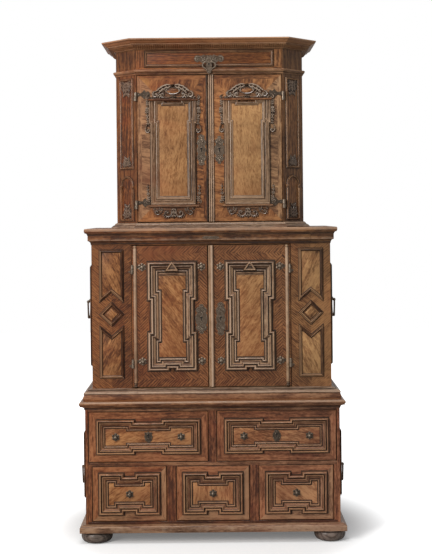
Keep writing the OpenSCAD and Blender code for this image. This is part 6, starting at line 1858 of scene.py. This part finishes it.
def cabinet():
    feet()
    plinth()
    chest_front()
    chest_top()
    drawers()
    side_panels("chest_side_panels", CHEST_HALF, 20)
    side_panels("middle_side_panels", MID_HALF, 70)
    handle_eyes()
    for side in ("left", "right"):
        bail("chest", side, CHEST_HALF)
        bail("middle", side, MID_HALF)
        middle_door(side)
        middle_iron(side)
        upper_door(side)
        upper_iron(side)
    pintles()
    middle_base()
    pilasters()
    middle_cornice()
    hidden_drawer()
    upper_base()
    post_work()
    upper_frieze()
    cornice_drawer()
    cornice()
    ripple_strip()
    plain_boards()


# The studio

def floor():
    """A pale floor that keeps the cabinet's soft shadow. For camera rays it also gets a painted glow, dim
    near the cabinet and full white away from it, that lifts the lamps' cast shadows off the open floor.
    """
    mesh = bpy.data.meshes.new("studio_floor")
    mesh.from_pydata([(-9, -9, 0), (9, -9, 0), (9, 9, 0), (-9, 9, 0)], [], [(0, 1, 2, 3)])
    piece = placed("studio_floor", mesh)
    material, tree, shader, end = blank("studio_white")
    shader.inputs["Base Color"].default_value = rgb(0.42, 0.42, 0.42)
    shader.inputs["Roughness"].default_value = 0.9
    rays = node(tree, "ShaderNodeLightPath")
    place = node(tree, "ShaderNodeTexCoord").outputs["Object"]
    away = node(tree, "ShaderNodeVectorMath", {0: place}, operation="LENGTH").outputs["Value"]
    fade = node(tree, "ShaderNodeMapRange", {"Value": away, "From Min": 0.6, "From Max": 1.0, "To Min": 0.16,
                                             "To Max": 1.0}, interpolation_type="SMOOTHSTEP").outputs[0]
    pale = node(tree, "ShaderNodeBsdfDiffuse", {"Color": rgb(0.9, 0.9, 0.9)})
    glow = node(tree, "ShaderNodeEmission", {"Color": rgb(1, 1, 1), "Strength": fade})
    both = node(tree, "ShaderNodeAddShader", {0: pale.outputs[0], 1: glow.outputs[0]})
    seen = node(tree, "ShaderNodeMixShader", {0: rays.outputs["Is Camera Ray"], 1: shader.outputs[0],
                                              2: both.outputs[0]})
    tree.links.new(seen.outputs[0], end.inputs["Surface"])
    mesh.materials.append(material)


def world():
    sky = bpy.data.worlds.new("studio")
    bpy.context.scene.world = sky
    sky.use_nodes = True
    tree = sky.node_tree
    tree.nodes.clear()
    rays = node(tree, "ShaderNodeLightPath")
    seen = maths(tree, "MAXIMUM", rays.outputs["Is Camera Ray"], rays.outputs["Is Transmission Ray"])
    seen = maths(tree, "MAXIMUM", seen, maths(tree, "MULTIPLY", rays.outputs["Is Glossy Ray"], 0.3))
    dim = node(tree, "ShaderNodeBackground", {"Color": rgb(0.96, 0.98, 1.0), "Strength": 0.3})
    white = node(tree, "ShaderNodeBackground", {"Color": rgb(1, 1, 1), "Strength": 1.0})
    both = node(tree, "ShaderNodeMixShader", {0: seen, 1: dim.outputs[0], 2: white.outputs[0]})
    node(tree, "ShaderNodeOutputWorld", {"Surface": both.outputs[0]})


def lamp(name, place, target, size, power, colour):
    light = bpy.data.lights.new(name, "AREA")
    light.shape = "RECTANGLE"
    light.size, light.size_y = size
    light.energy = power
    light.color = colour
    piece = placed(name, light)
    piece.location = place
    piece.rotation_euler = (Vector(target) - Vector(place)).to_track_quat("-Z", "Y").to_euler()


def camera():
    """The photograph's view: a long lens, level, a little above the middle of the cabinet."""
    lens = bpy.data.cameras.new("camera")
    lens.sensor_width = 36.0
    lens.sensor_fit = "HORIZONTAL"
    lens.lens = 36.0 * 1150 / 432
    lens.shift_x = (216 - 210.4) / 432
    lens.shift_y = -(277 - 215) / 432
    lens.clip_start = 0.05
    lens.clip_end = 60.0
    piece = placed("camera", lens)
    level_view = Matrix.Rotation(math.radians(90), 4, "X")
    roll = Matrix.Rotation(-0.0098, 4, "Z")
    piece.matrix_world = Matrix.Translation((0.0, -5.396, 1.459)) @ level_view @ roll
    bpy.context.scene.camera = piece


bpy.context.scene.view_settings.view_transform = "Standard"
cabinet()
floor()
world()
lamp("key_lamp", (-3.5, -4.3, 3.0), (0.0, 0.0, 1.1), (1.3, 3.0), 235, (1.0, 0.985, 0.96))
lamp("top_lamp", (-0.5, -1.9, 4.9), (0.0, -0.1, 1.0), (2.4, 1.8), 86, (1.0, 1.0, 1.0))
camera()
